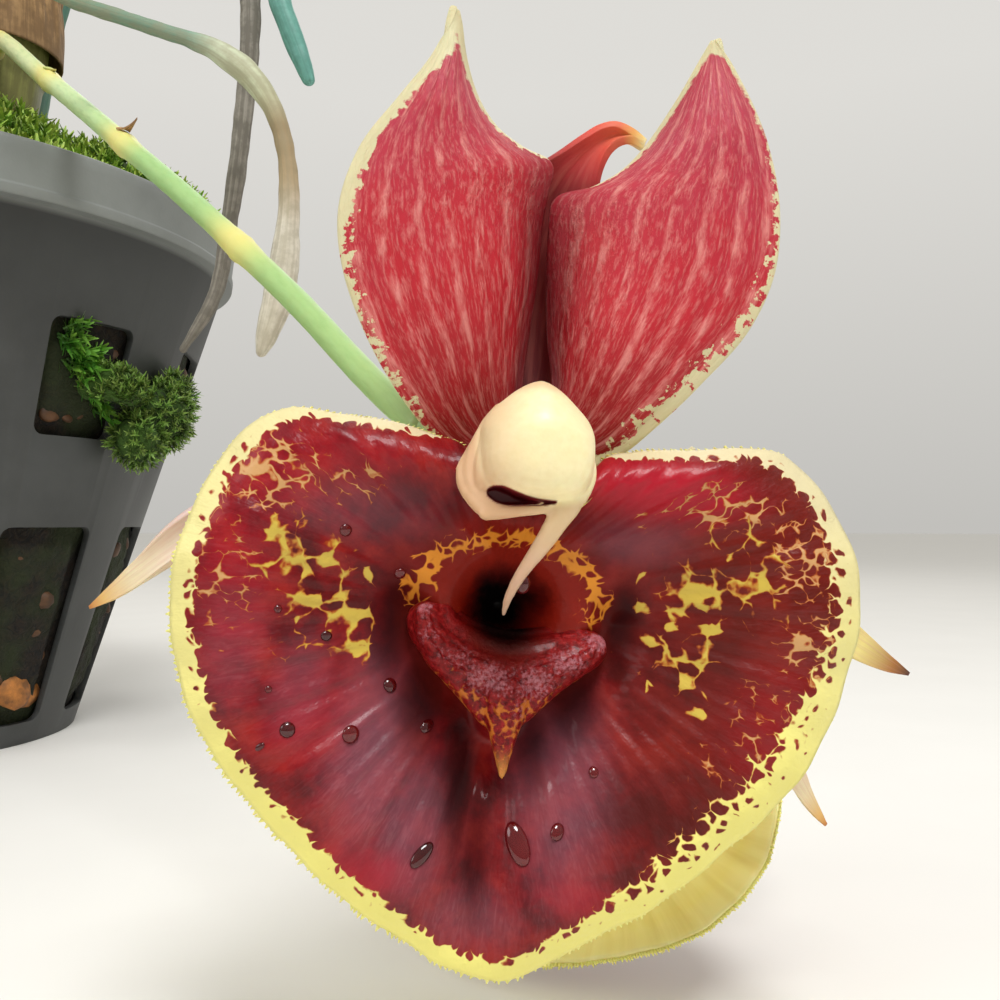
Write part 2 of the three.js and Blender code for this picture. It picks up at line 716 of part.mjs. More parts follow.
function petalDepth(across, along) {
  const open = ramp(0, 0.3, along);
  const tip = ramp(0.72, 1, along);
  return THREE.MathUtils.lerp(THREE.MathUtils.lerp(-9, petalArch(across), open), -7, tip);
}

const PETAL_LEFT = {
  inner: [
    [-0.9, 4.2], [-1.2, 8], [-0.9, 13.6], [-0.5, 20], [-0.4, 27], [-0.8, 31.6], [-4.7, 35.9],
    [-8.2, 39.8], [-11.2, 45.2],
  ],
  outer: [
    [-5.6, 3.2], [-12.6, 4.2], [-17.4, 10], [-20.6, 16.6], [-21.5, 22.4], [-20, 28.8],
    [-16.4, 34.8], [-13.2, 40.3], [-11.9, 45.5],
  ],
};
const PETAL_RIGHT = {
  inner: [
    [1.1, 4.25], [2.1, 8], [1.5, 13], [0.9, 19], [0.6, 24.4], [0.9, 28.2], [4.8, 29.8],
    [8.9, 32.9], [12.7, 39], [15.5, 45.8],
  ],
  outer: [
    [5.4, 2.6], [12.2, 4.4], [17, 9.2], [21.4, 14.8], [23.6, 21], [23.6, 28.2], [22.3, 33.8],
    [20.4, 38.4], [18, 42.7], [16.2, 46],
  ],
};
const DORSAL_SEPAL = {
  inner: [
    [-1.4, 4.4], [-5, 9], [-6.6, 16], [-5.6, 24], [-3.6, 30], [-0.2, 34.6], [2.4, 36.2],
    [5.2, 38.8], [7.6, 39.4], [11, 37.9],
  ],
  outer: [
    [1.4, 4.4], [5.4, 9], [7, 16], [6.6, 22], [6.2, 27], [6, 31], [6.4, 33.8], [7.4, 35.8],
    [8.8, 36.9], [11.1, 37.3],
  ],
};

function dorsalDepth(across, along) {
  const spine = THREE.MathUtils.lerp(-13, -15.3, ramp(0, 0.25, along));
  return spine + 1.1 * (2 * across - 1) ** 2 * ramp(0, 0.2, along);
}

/** A lateral sepal: a boat-shaped blade from the heart to a tip, bowed upwards by its bow. */
function lateralSurface(root, tip, halfWidth, bow) {
  const axis = new THREE.Vector3(tip[0] - root[0], tip[1] - root[1], 0);
  const sideways = new THREE.Vector3(-axis.y, axis.x, 0).normalize();
  const width = through([
    [0, 0.42], [0.12, 0.85], [0.35, 1], [0.6, 0.86], [0.82, 0.52], [0.94, 0.26], [1, 0.1],
  ]);
  const level = through([[0, root[2]], [0.3, -13.6], [0.7, -13.2], [1, tip[2]]]);
  return (across, along) => {
    const t = THREE.MathUtils.clamp(along, 0, 1);
    const offset = (across - 0.5) * 2;
    const point = new THREE.Vector3(root[0], root[1], 0).addScaledVector(axis, along);
    const side = Math.sign(tip[0]);
    point.addScaledVector(sideways, side * (offset * halfWidth * width(t) + bow * Math.sin(Math.PI * t)));
    point.z = level(t) - 1.5 * (1 - offset * offset) * Math.sin(Math.PI * Math.min(t * 1.15, 1));
    return point;
  };
}

/** The column: foot, arching neck, hooded cap over the dark stigma, wing, and the two antennae. */
function columnSolid() {
  const foot = rod(curveThrough([[0, 0, HUB.back], [0, 0, HUB.front]]), () => HUB.radius, 1, 10);
  const neck = rod(
    curveThrough([[0, 0.6, -7], [0, 1.8, -2.5], [-0.5, 1.4, 2], [-1.2, 0, 6.5]]),
    through([[0, 2.6], [0.35, 3.3], [0.7, 4.5], [1, 4.9]]), 4, 9,
  );
  const cap = sphere(1, [5, 5.4, 5.6], [-1, 0.5, 6.4], 10);
  const beak = rod(curveThrough([[-1, -1.6, 9.4], [-0.9, -3.8, 10.4], [-0.7, -4.9, 11.2]]),
    (t) => 2.9 * (1 - t) + 0.5, 2, 7);
  const wing = sphere(1, [2.6, 4.3, 3], [-5.4, -2.7, 5.2], 7);
  const stigma = sphere(1, [3, 0.95, 3.4], [-3.1, -4.7, 9.4], 8);
  const chin = rod(curveThrough([[-5.6, -5.2, 7.2], [-4.4, -6.5, 8], [-2.4, -6.3, 8.6], [0.8, -4.6, 8.2]]),
    through([[0, 1.4], [0.4, 1], [1, 0.9]]), 4, 6, 0.8);
  const antenna = rod(curveThrough([
    [2.2, -2.6, 6.6], [2.1, -4.6, 8.4], [1, -6.4, 8.6], [0.1, -8.4, 7], [-0.7, -10.1, 5],
    [-1.4, -12, 2.5], [-1.8, -13.8, 0], [-1.9, -15.1, -2], [-1.7, -16.2, -3.3],
  ]), through([[0, 1.9], [0.2, 1.9], [0.4, 1.15], [0.8, 0.8], [1, 0.35]]), 8, 6, 0.75);
  const body = [neck, beak, chin, antenna].map(solidOf);
  return joined([solidOf(foot), cap, wing, ...body]).subtract(stigma);
}

/** One bloom. Lateral sepal tips are in the bloom's own frame. */
function addBloom(parent, bloom) {
  const { name, place, yaw, pitch, roll, size, leftTip, rightTip, marginPoints, bladeRows } = bloom;
  const stand = new THREE.Group();
  stand.position.set(...place);
  stand.rotation.set(Math.PI / 2 + pitch, 0, yaw, 'ZXY');
  stand.scale.setScalar(size);
  const face = new THREE.Group();
  face.rotation.z = roll;
  stand.add(face);
  parent.add(stand);

  addPiece(face, `${name}_lip`, geometryOf(lipDish(marginPoints).add(callusSolid())), FINISH.lip);
  for (const [side, edges] of [['left', PETAL_LEFT], ['right', PETAL_RIGHT]]) {
    const surface = petalSurface(edges.inner, edges.outer, petalDepth);
    addPiece(face, `${name}_petal_${side}`, blade(surface, bladeRows, 5, PETAL_THICKNESS), FINISH.petal);
  }
  const dorsal = petalSurface(DORSAL_SEPAL.inner, DORSAL_SEPAL.outer, dorsalDepth);
  addPiece(face, `${name}_sepal_dorsal`, blade(dorsal, bladeRows, 4, SEPAL_THICKNESS), FINISH.sepal);
  const left = lateralSurface([-4.4, -1, -11.4], leftTip, 4.4, 2.6);
  const right = lateralSurface([4.4, -1, -11.4], rightTip, 3.5, 0.1);
  addPiece(face, `${name}_sepal_left`, blade(left, bladeRows, 4, SEPAL_THICKNESS), FINISH.sepal);
  addPiece(face, `${name}_sepal_right`, blade(right, bladeRows, 4, SEPAL_THICKNESS), FINISH.sepal);
  addPiece(face, `${name}_column`, geometryOf(columnSolid()), FINISH.column);

  parent.updateMatrixWorld(true);
  const seatAt = (depth) => face.localToWorld(new THREE.Vector3(0, 0, depth));
  const reach = GAP / size;
  return [seatAt(HUB.back - reach), seatAt(HUB.back - reach - 3.5)];
}

const BLOOMS = [
  {
    name: 'front',
    place: [170.6, -174.5, 64],
    yaw: 6 * DEG,
    pitch: 0,
    roll: -5 * DEG,
    size: 1,
    leftTip: [-44.3, -19.9, -15],
    rightTip: [47, -20.4, -15],
    marginPoints: 112,
    bladeRows: 13,
  },
  {
    name: 'rear',
    place: [185.9, -134.8, 33.9],
    yaw: (180 - 25) * DEG,
    pitch: 32 * DEG,
    roll: 25 * DEG,
    size: 0.77,
    leftTip: [-39.5, -5.6, -9.4],
    rightTip: [44, -16, -15],
    marginPoints: 64,
    bladeRows: 9,
  },
];

// Assembly

addPiece(group, 'basket', geometryOf(basketSolid()), FINISH.basket);
addPiece(group, 'moss_bed', geometryOf(mossBedSolid()), FINISH.moss);
for (const bulb of BULBS) {
  const body = joined([bulbSolid(bulb, 0), ...bulbSpines(bulb)]);
  addPiece(group, `pseudobulb_${bulb.name}`, geometryOf(body), FINISH.bulb);
  addPiece(group, `sheath_${bulb.name}`, sheathGeometry(bulb), FINISH.sheath);
}
ROOTS.forEach((root, i) => {
  addPiece(group, `aerial_root_${i + 1}`, geometryOf(rootSolid(root, 0)), FINISH[root.finish]);
});
const [frontSeat, rearSeat] = BLOOMS.map((bloom) => addBloom(group, bloom));
addPiece(group, 'flower_stem', geometryOf(stemSolid(frontSeat, rearSeat)), FINISH.stem);

export default group;
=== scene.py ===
"""Catasetum orchid with two open flowers, growing in a slotted plastic net basket.

Sizes are millimetres in the fields below and metres in the meshes. +Z is up, the front is
towards -Y, and the origin is the centre of the basket's underside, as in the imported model.
"""

import logging
import math
import random
from collections.abc import Callable, Iterator, Sequence
from contextlib import contextmanager
from dataclasses import dataclass
from enum import Enum
from functools import partial

import bpy
import numpy as np
from mathutils import Matrix, Vector, noise
from mathutils.bvhtree import BVHTree


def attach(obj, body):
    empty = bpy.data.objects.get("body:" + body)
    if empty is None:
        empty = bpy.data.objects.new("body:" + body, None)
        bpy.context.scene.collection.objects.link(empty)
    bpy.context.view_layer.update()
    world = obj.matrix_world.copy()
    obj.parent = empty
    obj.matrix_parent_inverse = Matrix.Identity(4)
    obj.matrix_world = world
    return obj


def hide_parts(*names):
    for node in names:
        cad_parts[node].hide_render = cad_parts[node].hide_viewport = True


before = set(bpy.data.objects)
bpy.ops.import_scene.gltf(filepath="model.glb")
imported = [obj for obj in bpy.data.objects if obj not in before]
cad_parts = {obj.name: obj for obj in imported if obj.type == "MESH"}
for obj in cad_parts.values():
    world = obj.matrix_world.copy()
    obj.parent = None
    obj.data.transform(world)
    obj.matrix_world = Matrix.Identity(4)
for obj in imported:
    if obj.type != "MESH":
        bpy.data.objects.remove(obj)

MM = 0.001
LOG = logging.getLogger("orchid")
Array = np.ndarray
Shape = Callable[[Array], Array]
Line = tuple[tuple[float, float], ...]
Spot = tuple[float, float, float]
Path = tuple[Spot, ...]
Piece = bpy.types.Object
Material = bpy.types.Material
Socket = bpy.types.NodeSocket
NodeAdder = Callable[..., Socket]


# Numbers and curves


def through(pairs: Sequence[tuple[float, float]]) -> Shape:
    """Makes a smooth function from points given in rising order.

    Args:
        pairs: The (x, y) points that it passes through.

    Returns:
        A function of an array of x that gives the array of y.
    """
    xs, ys = np.array(pairs, float).T
    before, after = np.r_[0, : len(xs) - 1], np.r_[1 : len(xs), len(xs) - 1]
    before, after = before.astype(int), after.astype(int)
    slopes = (ys[after] - ys[before]) / (xs[after] - xs[before])

    def value(x: Array) -> Array:
        """Gives the curve's height at x."""
        x = np.clip(np.asarray(x, float), xs[0], xs[-1])
        i = np.clip(np.searchsorted(xs, x, side="right") - 1, 0, len(xs) - 2)
        span = xs[i + 1] - xs[i]
        t = (x - xs[i]) / span
        start = ys[i] * (1 + 2 * t) * (1 - t) ** 2 + slopes[i] * span * t * (1 - t) ** 2
        end = ys[i + 1] * t * t * (3 - 2 * t) + slopes[i + 1] * span * t * t * (t - 1)
        return start + end

    return value


def ramp(low: float, high: float, x: Array) -> Array:
    """Rises smoothly from 0 at low to 1 at high; low may be the larger one."""
    t = np.clip((np.asarray(x, float) - low) / (high - low), 0, 1)
    return t * t * (3 - 2 * t)


def lerp(a: Array, b: Array, t: Array) -> Array:
    """Blends from a to b as t goes from 0 to 1."""
    return a + (b - a) * t


def bump(x: Array, centre: float, width: float) -> Array:
    """Gives a soft hump of height 1 about a centre."""
    return np.exp(-(((x - centre) / width) ** 2))


def spline(knots: Sequence[Sequence[float]], t: Array) -> Array:
    """Follows a centripetal curve through points.

    Args:
        knots: The points that the curve passes through.
        t: Places along it from 0 to 1, counted by knots.

    Returns:
        One point for each place.
    """
    p = np.array(knots, float)
    p = np.vstack([2 * p[0] - p[1], p, 2 * p[-1] - p[-2]])
    spot = np.clip(np.asarray(t, float), 0, 1) * (len(p) - 3)
    i = np.minimum(spot.astype(int), len(p) - 4)
    w = (spot - i)[..., None]
    p0, p1, p2, p3 = p[i], p[i + 1], p[i + 2], p[i + 3]
    gaps = [np.maximum(np.linalg.norm(b - a, axis=-1), 1e-6)[..., None] ** 0.5 for a, b in
            ((p0, p1), (p1, p2), (p2, p3))]
    a, b, c = gaps
    m1 = ((p1 - p0) / a - (p2 - p0) / (a + b) + (p2 - p1) / b) * b
    m2 = ((p2 - p1) / b - (p3 - p1) / (b + c) + (p3 - p2) / c) * b
    return (p1 * (1 + 2 * w) * (1 - w) ** 2 + m1 * w * (1 - w) ** 2
            + p2 * w * w * (3 - 2 * w) + m2 * w * w * (w - 1))


def even(knots: Sequence[Sequence[float]], t: Array) -> tuple[Array, float]:
    """Follows the same curve at even speed.

    Args:
        knots: The points that the curve passes through.
        t: Places along it from 0 to 1, counted by length.

    Returns:
        One point for each place, and the curve's length.
    """
    if len(knots) == 2:
        a, b = np.array(knots, float)
        return lerp(a, b, np.asarray(t)[..., None]), float(np.linalg.norm(b - a))
    fine = spline(knots, np.linspace(0, 1, 600))
    run = np.r_[0, np.cumsum(np.linalg.norm(np.diff(fine, axis=0), axis=1))]
    places = np.asarray(t) * run[-1]
    return np.stack([np.interp(places, run, fine[:, k]) for k in range(3)], -1), float(run[-1])


def polar(reach: float, angle: float, level: float) -> Spot:
    """Gives the point at a distance from the Z axis, an angle in radians and a level."""
    return reach * math.cos(angle), reach * math.sin(angle), level


def around(reach: Array, angle: Array, level: Array) -> Array:
    """Gives rows of such points from arrays of distances, angles and levels."""
    return np.stack([reach * np.cos(angle), reach * np.sin(angle), level + 0 * angle], -1)


def grain(points: Array, size: float) -> Array:
    """Gives soft noise of about -1 to 1 with features of a size in mm at each point."""
    flat = points.reshape(-1, 3) / size
    return np.array([noise.noise(Vector(p)) for p in flat]).reshape(points.shape[:-1])


# Meshes


def only(*pieces: Piece) -> None:
    """Selects these pieces alone and makes the first one active."""
    bpy.ops.object.select_all(action="DESELECT")
    for piece in pieces:
        piece.select_set(True)
    if pieces:
        bpy.context.view_layer.objects.active = pieces[0]


def positions(piece: Piece) -> Array:
    """Reads a piece's vertices in mm."""
    flat = np.empty(len(piece.data.vertices) * 3)
    piece.data.vertices.foreach_get("co", flat)
    return flat.reshape(-1, 3) / MM


def reshape(piece: Piece, points: Array) -> None:
    """Moves a piece's vertices to places in mm."""
    piece.data.vertices.foreach_set("co", (points * MM).ravel())
    piece.data.update()


def mark(piece: Piece, name: str, values: Array) -> None:
    """Writes one number or vector for each vertex, for the material to read."""
    flat = values.ndim == 1
    layer = piece.data.attributes.get(name) or piece.data.attributes.new(
        name, "FLOAT" if flat else "FLOAT_VECTOR", "POINT")
    layer.data.foreach_set("value" if flat else "vector", np.ascontiguousarray(values, float).ravel())


def primitive(kind: str, **settings: object) -> Piece:
    """Adds one of Blender's primitives, with its place in its mesh."""
    only()
    getattr(bpy.ops.mesh, f"primitive_{kind}_add")(**settings)
    if "location" in settings:
        bpy.ops.object.transform_apply(location=True)
    return bpy.context.active_object


@contextmanager
def edit_mode(piece: Piece, picked: Callable[[bpy.types.Mesh], Sequence] | None = None,
              kind: str = "VERT") -> Iterator[None]:
    """Opens a piece in edit mode and closes it again.

    Args:
        piece: The piece.
        picked: Gives the parts of its mesh that are selected, or None for all of them.
        kind: What is selected: VERT, EDGE or FACE.
    """
    only(piece)
    bpy.ops.object.mode_set(mode="EDIT")
    bpy.ops.mesh.select_mode(type=kind)
    bpy.ops.mesh.select_all(action="DESELECT" if picked else "SELECT")
    if picked:
        bpy.ops.object.mode_set(mode="OBJECT")
        for part in picked(piece.data):
            part.select = True
        bpy.ops.object.mode_set(mode="EDIT")
    yield
    bpy.ops.object.mode_set(mode="OBJECT")


def modified(piece: Piece, kind: str, **settings: object) -> Piece:
    """Gives a piece a modifier with these settings, applies it and gives the piece back."""
    modifier = piece.modifiers.new(kind.lower(), kind)
    for name, value in settings.items():
        setattr(modifier, name, value)
    only(piece)
    bpy.ops.object.modifier_apply(modifier=modifier.name)
    return piece


def weld(piece: Piece, outward: bool = True) -> None:
    """Merges the points that meet, and turns a closed skin's faces outwards."""
    with edit_mode(piece):
        bpy.ops.mesh.remove_doubles(threshold=2e-6)
        if outward:
            bpy.ops.mesh.normals_make_consistent(inside=False)


def skin(name: str, rings: Array, closed: bool = False, marks: dict[str, Array] | None = None) -> Piece:
    """Lays a grid over a surface given as rows of points.

    Args:
        name: The piece's name.
        rings: Points in mm, as rows by columns by 3.
        closed: True where the edges meet and the skin becomes a closed body.
        marks: Values to keep on the vertices, as rows by columns, with or without 3 parts.

    Returns:
        The piece, with its grid's own UV map.
    """
    rows, columns = rings.shape[:2]
    piece = primitive("grid", x_subdivisions=columns - 1, y_subdivisions=rows - 1, size=1)
    piece.name = piece.data.name = name
    spots = positions(piece) * MM
    i = np.rint((spots[:, 0] + 0.5) * (columns - 1)).astype(int)
    j = np.rint((spots[:, 1] + 0.5) * (rows - 1)).astype(int)
    reshape(piece, rings[j, i])
    for label, values in (marks or {}).items():
        mark(piece, label, values[j, i])
    if closed:
        weld(piece)
    return piece


def rod(name: str, knots: Sequence[Sequence[float]], radius: Shape | float, sides: int = 20,
        spacing: float = 0.8, flatten: float = 1.0, rough: float = 0.0) -> Piece:
    """Makes a rod with rounded ends along a curve.

    Args:
        name: The piece's name.
        knots: The points that it follows, in mm.
        radius: Its radius in mm, or a function that gives it at places from 0 to 1.
        sides: How many sides it has.
        spacing: The distance between its rings in mm.
        flatten: The share of its radius that is left across the curve.
        rough: How far its skin wanders in mm.

    Returns:
        The closed piece, with its place along the rod kept as "along".
    """
    girth = radius if callable(radius) else lambda t: radius + 0 * t
    length = even(knots, np.zeros(1))[1]
    ends = girth(np.array([0.0, 1.0]))
    cap = 1 - np.cos(np.linspace(0, math.pi / 2, 7))
    body = np.linspace(0, 1, max(int(length / spacing), 6) + 1)[1:-1]
    first, last = cap * ends[0] / length, 1 - cap[::-1] * ends[1] / length
    t = np.r_[first, body[(body > first[-1]) & (body < last[0])], last]
    centres = even(knots, t)[0]
    dome = [np.sqrt(np.clip(1 - (1 - np.minimum(run * length / end, 1)) ** 2, 0, 1))
            for run, end in ((t, ends[0]), (1 - t, ends[1]))]
    reach = girth(t) * dome[0] * dome[1]
    forward = np.gradient(centres, axis=0)
    forward /= np.linalg.norm(forward, axis=1)[:, None]
    side = np.cross(forward[0], (0.3, -0.2, 1.0) if abs(forward[0][2]) < 0.9 else (1.0, 0.1, 0.0))
    angle = np.linspace(0, math.tau, sides + 1)[:, None]
    rings = []
    for centre, ahead, r in zip(centres, forward, reach):
        side = side - ahead * np.dot(side, ahead)
        side /= np.linalg.norm(side)
        across = np.cross(ahead, side)
        rings.append(centre + r * (np.cos(angle) * side + flatten * np.sin(angle) * across))
    rings = np.array(rings)
    if rough:
        wander = grain(rings, 3.0)[..., None] * rough * np.minimum(reach, 1)[:, None, None]
        wander[:, -1] = wander[:, 0]
        rings = rings + wander * (rings - centres[:, None]) / np.maximum(reach, 0.1)[:, None, None]
    return skin(name, rings, True, {"along": np.repeat(t[:, None], sides + 1, 1)})


def joined(name: str, pieces: Sequence[Piece]) -> Piece:
    """Joins pieces into the first one and names it."""
    only(*pieces)
    if len(pieces) > 1:
        bpy.ops.object.join()
    pieces[0].name = pieces[0].data.name = name
    return pieces[0]


def ball(centre: Sequence[float], radii: Sequence[float], detail: int = 24) -> Piece:
    """Adds an egg-shaped body at its place and size in mm, with its place in its mesh."""
    piece = primitive("uv_sphere", segments=detail, ring_count=detail // 2, radius=MM)
    bpy.ops.object.mode_set(mode="EDIT")
    bpy.ops.transform.resize(value=tuple(radii))
    bpy.ops.transform.translate(value=tuple(c * MM for c in centre))
    bpy.ops.object.mode_set(mode="OBJECT")
    return piece


def fused(name: str, pieces: Sequence[Piece], cell: float, rounds: int) -> Piece:
    """Melts overlapping bodies into one smooth closed body.

    Args:
        name: The body's name.
        pieces: The bodies that overlap.
        cell: The size in mm of the cells that the new skin is made of.
        rounds: How many times the skin is relaxed.

    Returns:
        The one body.
    """
    body = modified(joined(name, pieces), "REMESH", mode="VOXEL", voxel_size=cell * MM)
    return modified(body, "SMOOTH", factor=0.6, iterations=rounds)


def faces_near(piece: Piece) -> BVHTree:
    """Gives a search tree over a piece's faces, in metres."""
    return BVHTree.FromPolygons([v.co for v in piece.data.vertices],
                                [tuple(face.vertices) for face in piece.data.polygons])


def scattered(name: str, shape: Piece, places: Sequence[Matrix], tones: Sequence[float]) -> Piece:
    """Copies one small shape to many places, as one mesh.

    Args:
        name: The new piece's name.
        shape: The small shape, which is used up.
        places: Where each copy goes, as matrices in mm.
        tones: One number from 0 to 1 for each copy, kept as "tone".

    Returns:
        The piece that holds every copy.
    """
    points = positions(shape)
    faces = [tuple(face.vertices) for face in shape.data.polygons]
    count = len(points)
    turned = [points @ np.array(m.to_3x3()).T + np.array(m.translation) for m in places]
    every = [tuple(v + k * count for v in face) for k in range(len(places)) for face in faces]
    mesh = bpy.data.meshes.new(name)
    mesh.from_pydata(np.vstack(turned) * MM, [], every)
    piece = bpy.data.objects.new(name, mesh)
    bpy.context.collection.objects.link(piece)
    mark(piece, "tone", np.repeat(np.array(tones, float), count))
    height = points[:, 2] - points[:, 2].min()
    mark(piece, "height", np.tile(height / max(height.max(), 1e-6), len(places)))
    bpy.data.objects.remove(shape)
    return piece


def dress(piece: Piece, slot: str, nodes: Sequence[str], *materials: Material) -> Piece:
    """Finishes a piece: its materials, smooth shading, its body and what it stands for.

    Args:
        piece: The finished mesh.
        slot: The name of its material slot; not used.
        nodes: The CAD nodes that it stands for.
        *materials: Its materials in slot order.

    Returns:
        The piece.
    """
    only(piece)
    bpy.ops.object.shade_smooth()
    while len(piece.data.materials) < len(materials):
        piece.data.materials.append(None)
    for i, material in enumerate(materials):
        piece.data.materials[i] = material
    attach(piece, "root")
    if nodes:
        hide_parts(*nodes)
    LOG.info("%s: %d faces", piece.name, len(piece.data.polygons))
    return piece


# Materials


def linear(colour: str) -> tuple[float, float, float, float]:
    """Turns an sRGB hex colour into linear numbers."""
    parts = [int(colour[i:i + 2], 16) / 255 for i in (1, 3, 5)]
    return (*(c / 12.92 if c <= 0.04045 else ((c + 0.055) / 1.055) ** 2.4 for c in parts), 1.0)


def add_node(tree: bpy.types.NodeTree, kind: str, links: dict | None = None,
             stops: Sequence[tuple[float, str]] = (), out: int | str | None = 0,
             **settings: object) -> Socket:
    """Adds a node with its settings and links.

    Args:
        tree: The material's node tree.
        kind: The node's type, without the words ShaderNode.
        links: Each input by name or number, with a value or with the output that feeds it.
        stops: A colour ramp's stops as (place, hex colour).
        out: The output that is wanted, or None for all of them.
        **settings: The node's own properties.

    Returns:
        That output, or the list of all outputs.
    """
    node = tree.nodes.new(f"ShaderNode{kind}")
    for name, value in settings.items():
        setattr(node, name, value)
    for socket, value in (links or {}).items():
        if isinstance(value, Socket):
            tree.links.new(value, node.inputs[socket])
        else:
            node.inputs[socket].default_value = value
    for i, (place, colour) in enumerate(stops):
        ramps = node.color_ramp.elements
        stop = ramps[i] if i < 2 else ramps.new(place)
        stop.position, stop.color = place, linear(colour)
    return node.outputs if out is None else node.outputs[out]


def start_material(name: str, **sockets: object) -> tuple[Material, NodeAdder]:
    """Starts a material.

    Args:
        name: What the finish is.
        **sockets: The shader's constant inputs, with _ for a space in the name.

    Returns:
        The material, and the function that adds a node to it.
    """
    material = bpy.data.materials.new(name)
    material.use_nodes = True
    shader = material.node_tree.nodes["Principled BSDF"]
    for socket, value in sockets.items():
        shader.inputs[socket.replace("_", " ")].default_value = value
    return material, partial(add_node, material.node_tree)


def finished(material: Material, **outputs: Socket) -> Material:
    """Links outputs to the shader's inputs, with _ for a space in the name, and gives the material."""
    shader = material.node_tree.nodes["Principled BSDF"]
    for socket, output in outputs.items():
        material.node_tree.links.new(output, shader.inputs[socket.replace("_", " ")])
    return material


def layered(add: NodeAdder, body: Socket, *layers: tuple[Socket, object]) -> Socket:
    """Lays colours over a body colour, from the lowest to the highest.

    Args:
        add: The function that adds a node to the material.
        body: The output with the body colour.
        *layers: How much of each layer shows, and its hex colour or the output that gives it.

    Returns:
        The output with the finished colour.
    """
    for amount, colour in layers:
        colour = linear(colour) if isinstance(colour, str) else colour
        body = add("Mix", {0: amount, 6: body, 7: colour}, out=2, data_type="RGBA")
    return body


@dataclass(frozen=True)
class MouldedPolypropylene:
    """Injection-moulded polypropylene: grey right through, dull, with a fine eggshell skin.

    The eye sees broad soft highlights on the rim, dust and a painted highlight on the rim band, a painted
    shadow on the damp wall under it, and faint flow marks. The eggshell is 0.6 mm wide. Levels are in metres.
    """

    body: str = "#414242"
    # Dust on the rim band, light enough to serve also as a painted highlight.
    dust_and_highlight: str = "#8c908c"
    damp: str = "#2f3030"
    shadow: str = "#191a1a"
    dust_and_highlight_level: tuple[float, float] = (0.1255, 0.1275)
    shadow_level: tuple[float, float] = (0.095, 0.124)

    def make(self) -> Material:
        """Builds the material."""
        material, add = start_material("moulded_polypropylene", Specular_IOR_Level=0.4)
        where = add("TexCoord", out="Object")
        height = add("SeparateXYZ", {0: where}, out=2)
        cloud = add("TexNoise", {"Vector": where, "Scale": 45, "Detail": 5})
        shell = add("TexNoise", {"Vector": where, "Scale": 1600, "Detail": 2})
        low, high = self.dust_and_highlight_level
        # The rim band: dust, with a painted highlight where the light falls on it.
        raised = add("MapRange", {"Value": height, 1: low, 2: high, 3: 0.1, 4: 1})
        worn = add("MapRange", {"Value": cloud, 1: 0.2, 2: 0.8, 3: 0.6})
        rim_dust_and_highlight = add("Math", {0: raised, 1: worn}, operation="MULTIPLY")
        low, high = self.shadow_level
        # Painted shadow on the wall just under the rim's overhang.
        shaded = add("MapRange", {"Value": height, 1: low, 2: high, 4: 0.8})
        wall = add("ValToRGB", {"Fac": cloud}, [(0.35, self.damp), (0.65, self.body)])
        dull = add("MapRange", {"Value": cloud, 3: 0.4, 4: 0.62})
        relief = add("Bump", {"Height": shell, "Strength": 0.12, "Distance": 0.0002})
        colour = layered(add, wall, (shaded, self.shadow), (rim_dust_and_highlight, self.dust_and_highlight))
        return finished(material, Base_Color=colour, Roughness=dull, Normal=relief)


@dataclass(frozen=True)
class MossLeaf:
    """Living moss: thin wet leaves, brown at the foot of a shoot and bright at its tip."""

    name: str = "living_moss"
    foot: str = "#3f5214"
    leaf: str = "#64902a"
    tip: str = "#aac64a"

    def make(self) -> Material:
        """Builds the material."""
        material, add = start_material(self.name, Roughness=0.55, Subsurface_Weight=0.15,
                                       Subsurface_Scale=0.001, Subsurface_Radius=(0.5, 1, 0.2))
        height, tone = (add("Attribute", out="Fac", attribute_name=name) for name in ("height", "tone"))
        shoot = add("ValToRGB", {"Fac": height}, [(0.05, self.foot), (0.5, self.leaf), (1, self.tip)])
        tint = add("MapRange", {"Value": tone, 3: 0.6, 4: 1.35})
        hue = add("MapRange", {"Value": tone, 3: 0.47, 4: 0.52})
        colour = add("HueSaturation", {"Color": shoot, "Value": tint, "Hue": hue})
        return finished(material, Base_Color=colour)


@dataclass(frozen=True)
class PlantingMix:
    """Old sphagnum and bark: matted brown fibres 0.8 mm thick, darkened to near black as painted shade, green
    where light reaches it.

    Above the living level, in metres, the eye sees moss green between the shoots that cover it.
    """

    # Near black: dark peat, darkened further as painted shade inside the basket behind the windows.
    peat_and_shade: str = "#080604"
    fibre: str = "#241a0e"
    green: str = "#222c0c"
    living: str = "#33490f"
    living_level: tuple[float, float] = (0.125, 0.14)

    def make(self) -> Material:
        """Builds the material."""
        material, add = start_material("planting_mix", Roughness=0.9)
        where = add("TexCoord", out="Object")
        mat = add("TexNoise", {"Vector": where, "Scale": 420, "Detail": 6, "Distortion": 2})
        patch = add("TexNoise", {"Vector": where, "Scale": 60})
        brown = add("ValToRGB", {"Fac": mat}, [(0.38, self.peat_and_shade), (0.62, self.fibre)])
        lit = add("MapRange", {"Value": patch, 1: 0.45, 2: 0.6, 4: 0.8})
        height = add("SeparateXYZ", {0: where}, out=2)
        low, high = self.living_level
        alive = add("MapRange", {"Value": height, 1: low, 2: high, 4: 0.85})
        relief = add("Bump", {"Height": mat, "Strength": 0.9, "Distance": 0.001})
        colour = layered(add, brown, (lit, self.green), (alive, self.living))
        return finished(material, Base_Color=colour, Normal=relief)


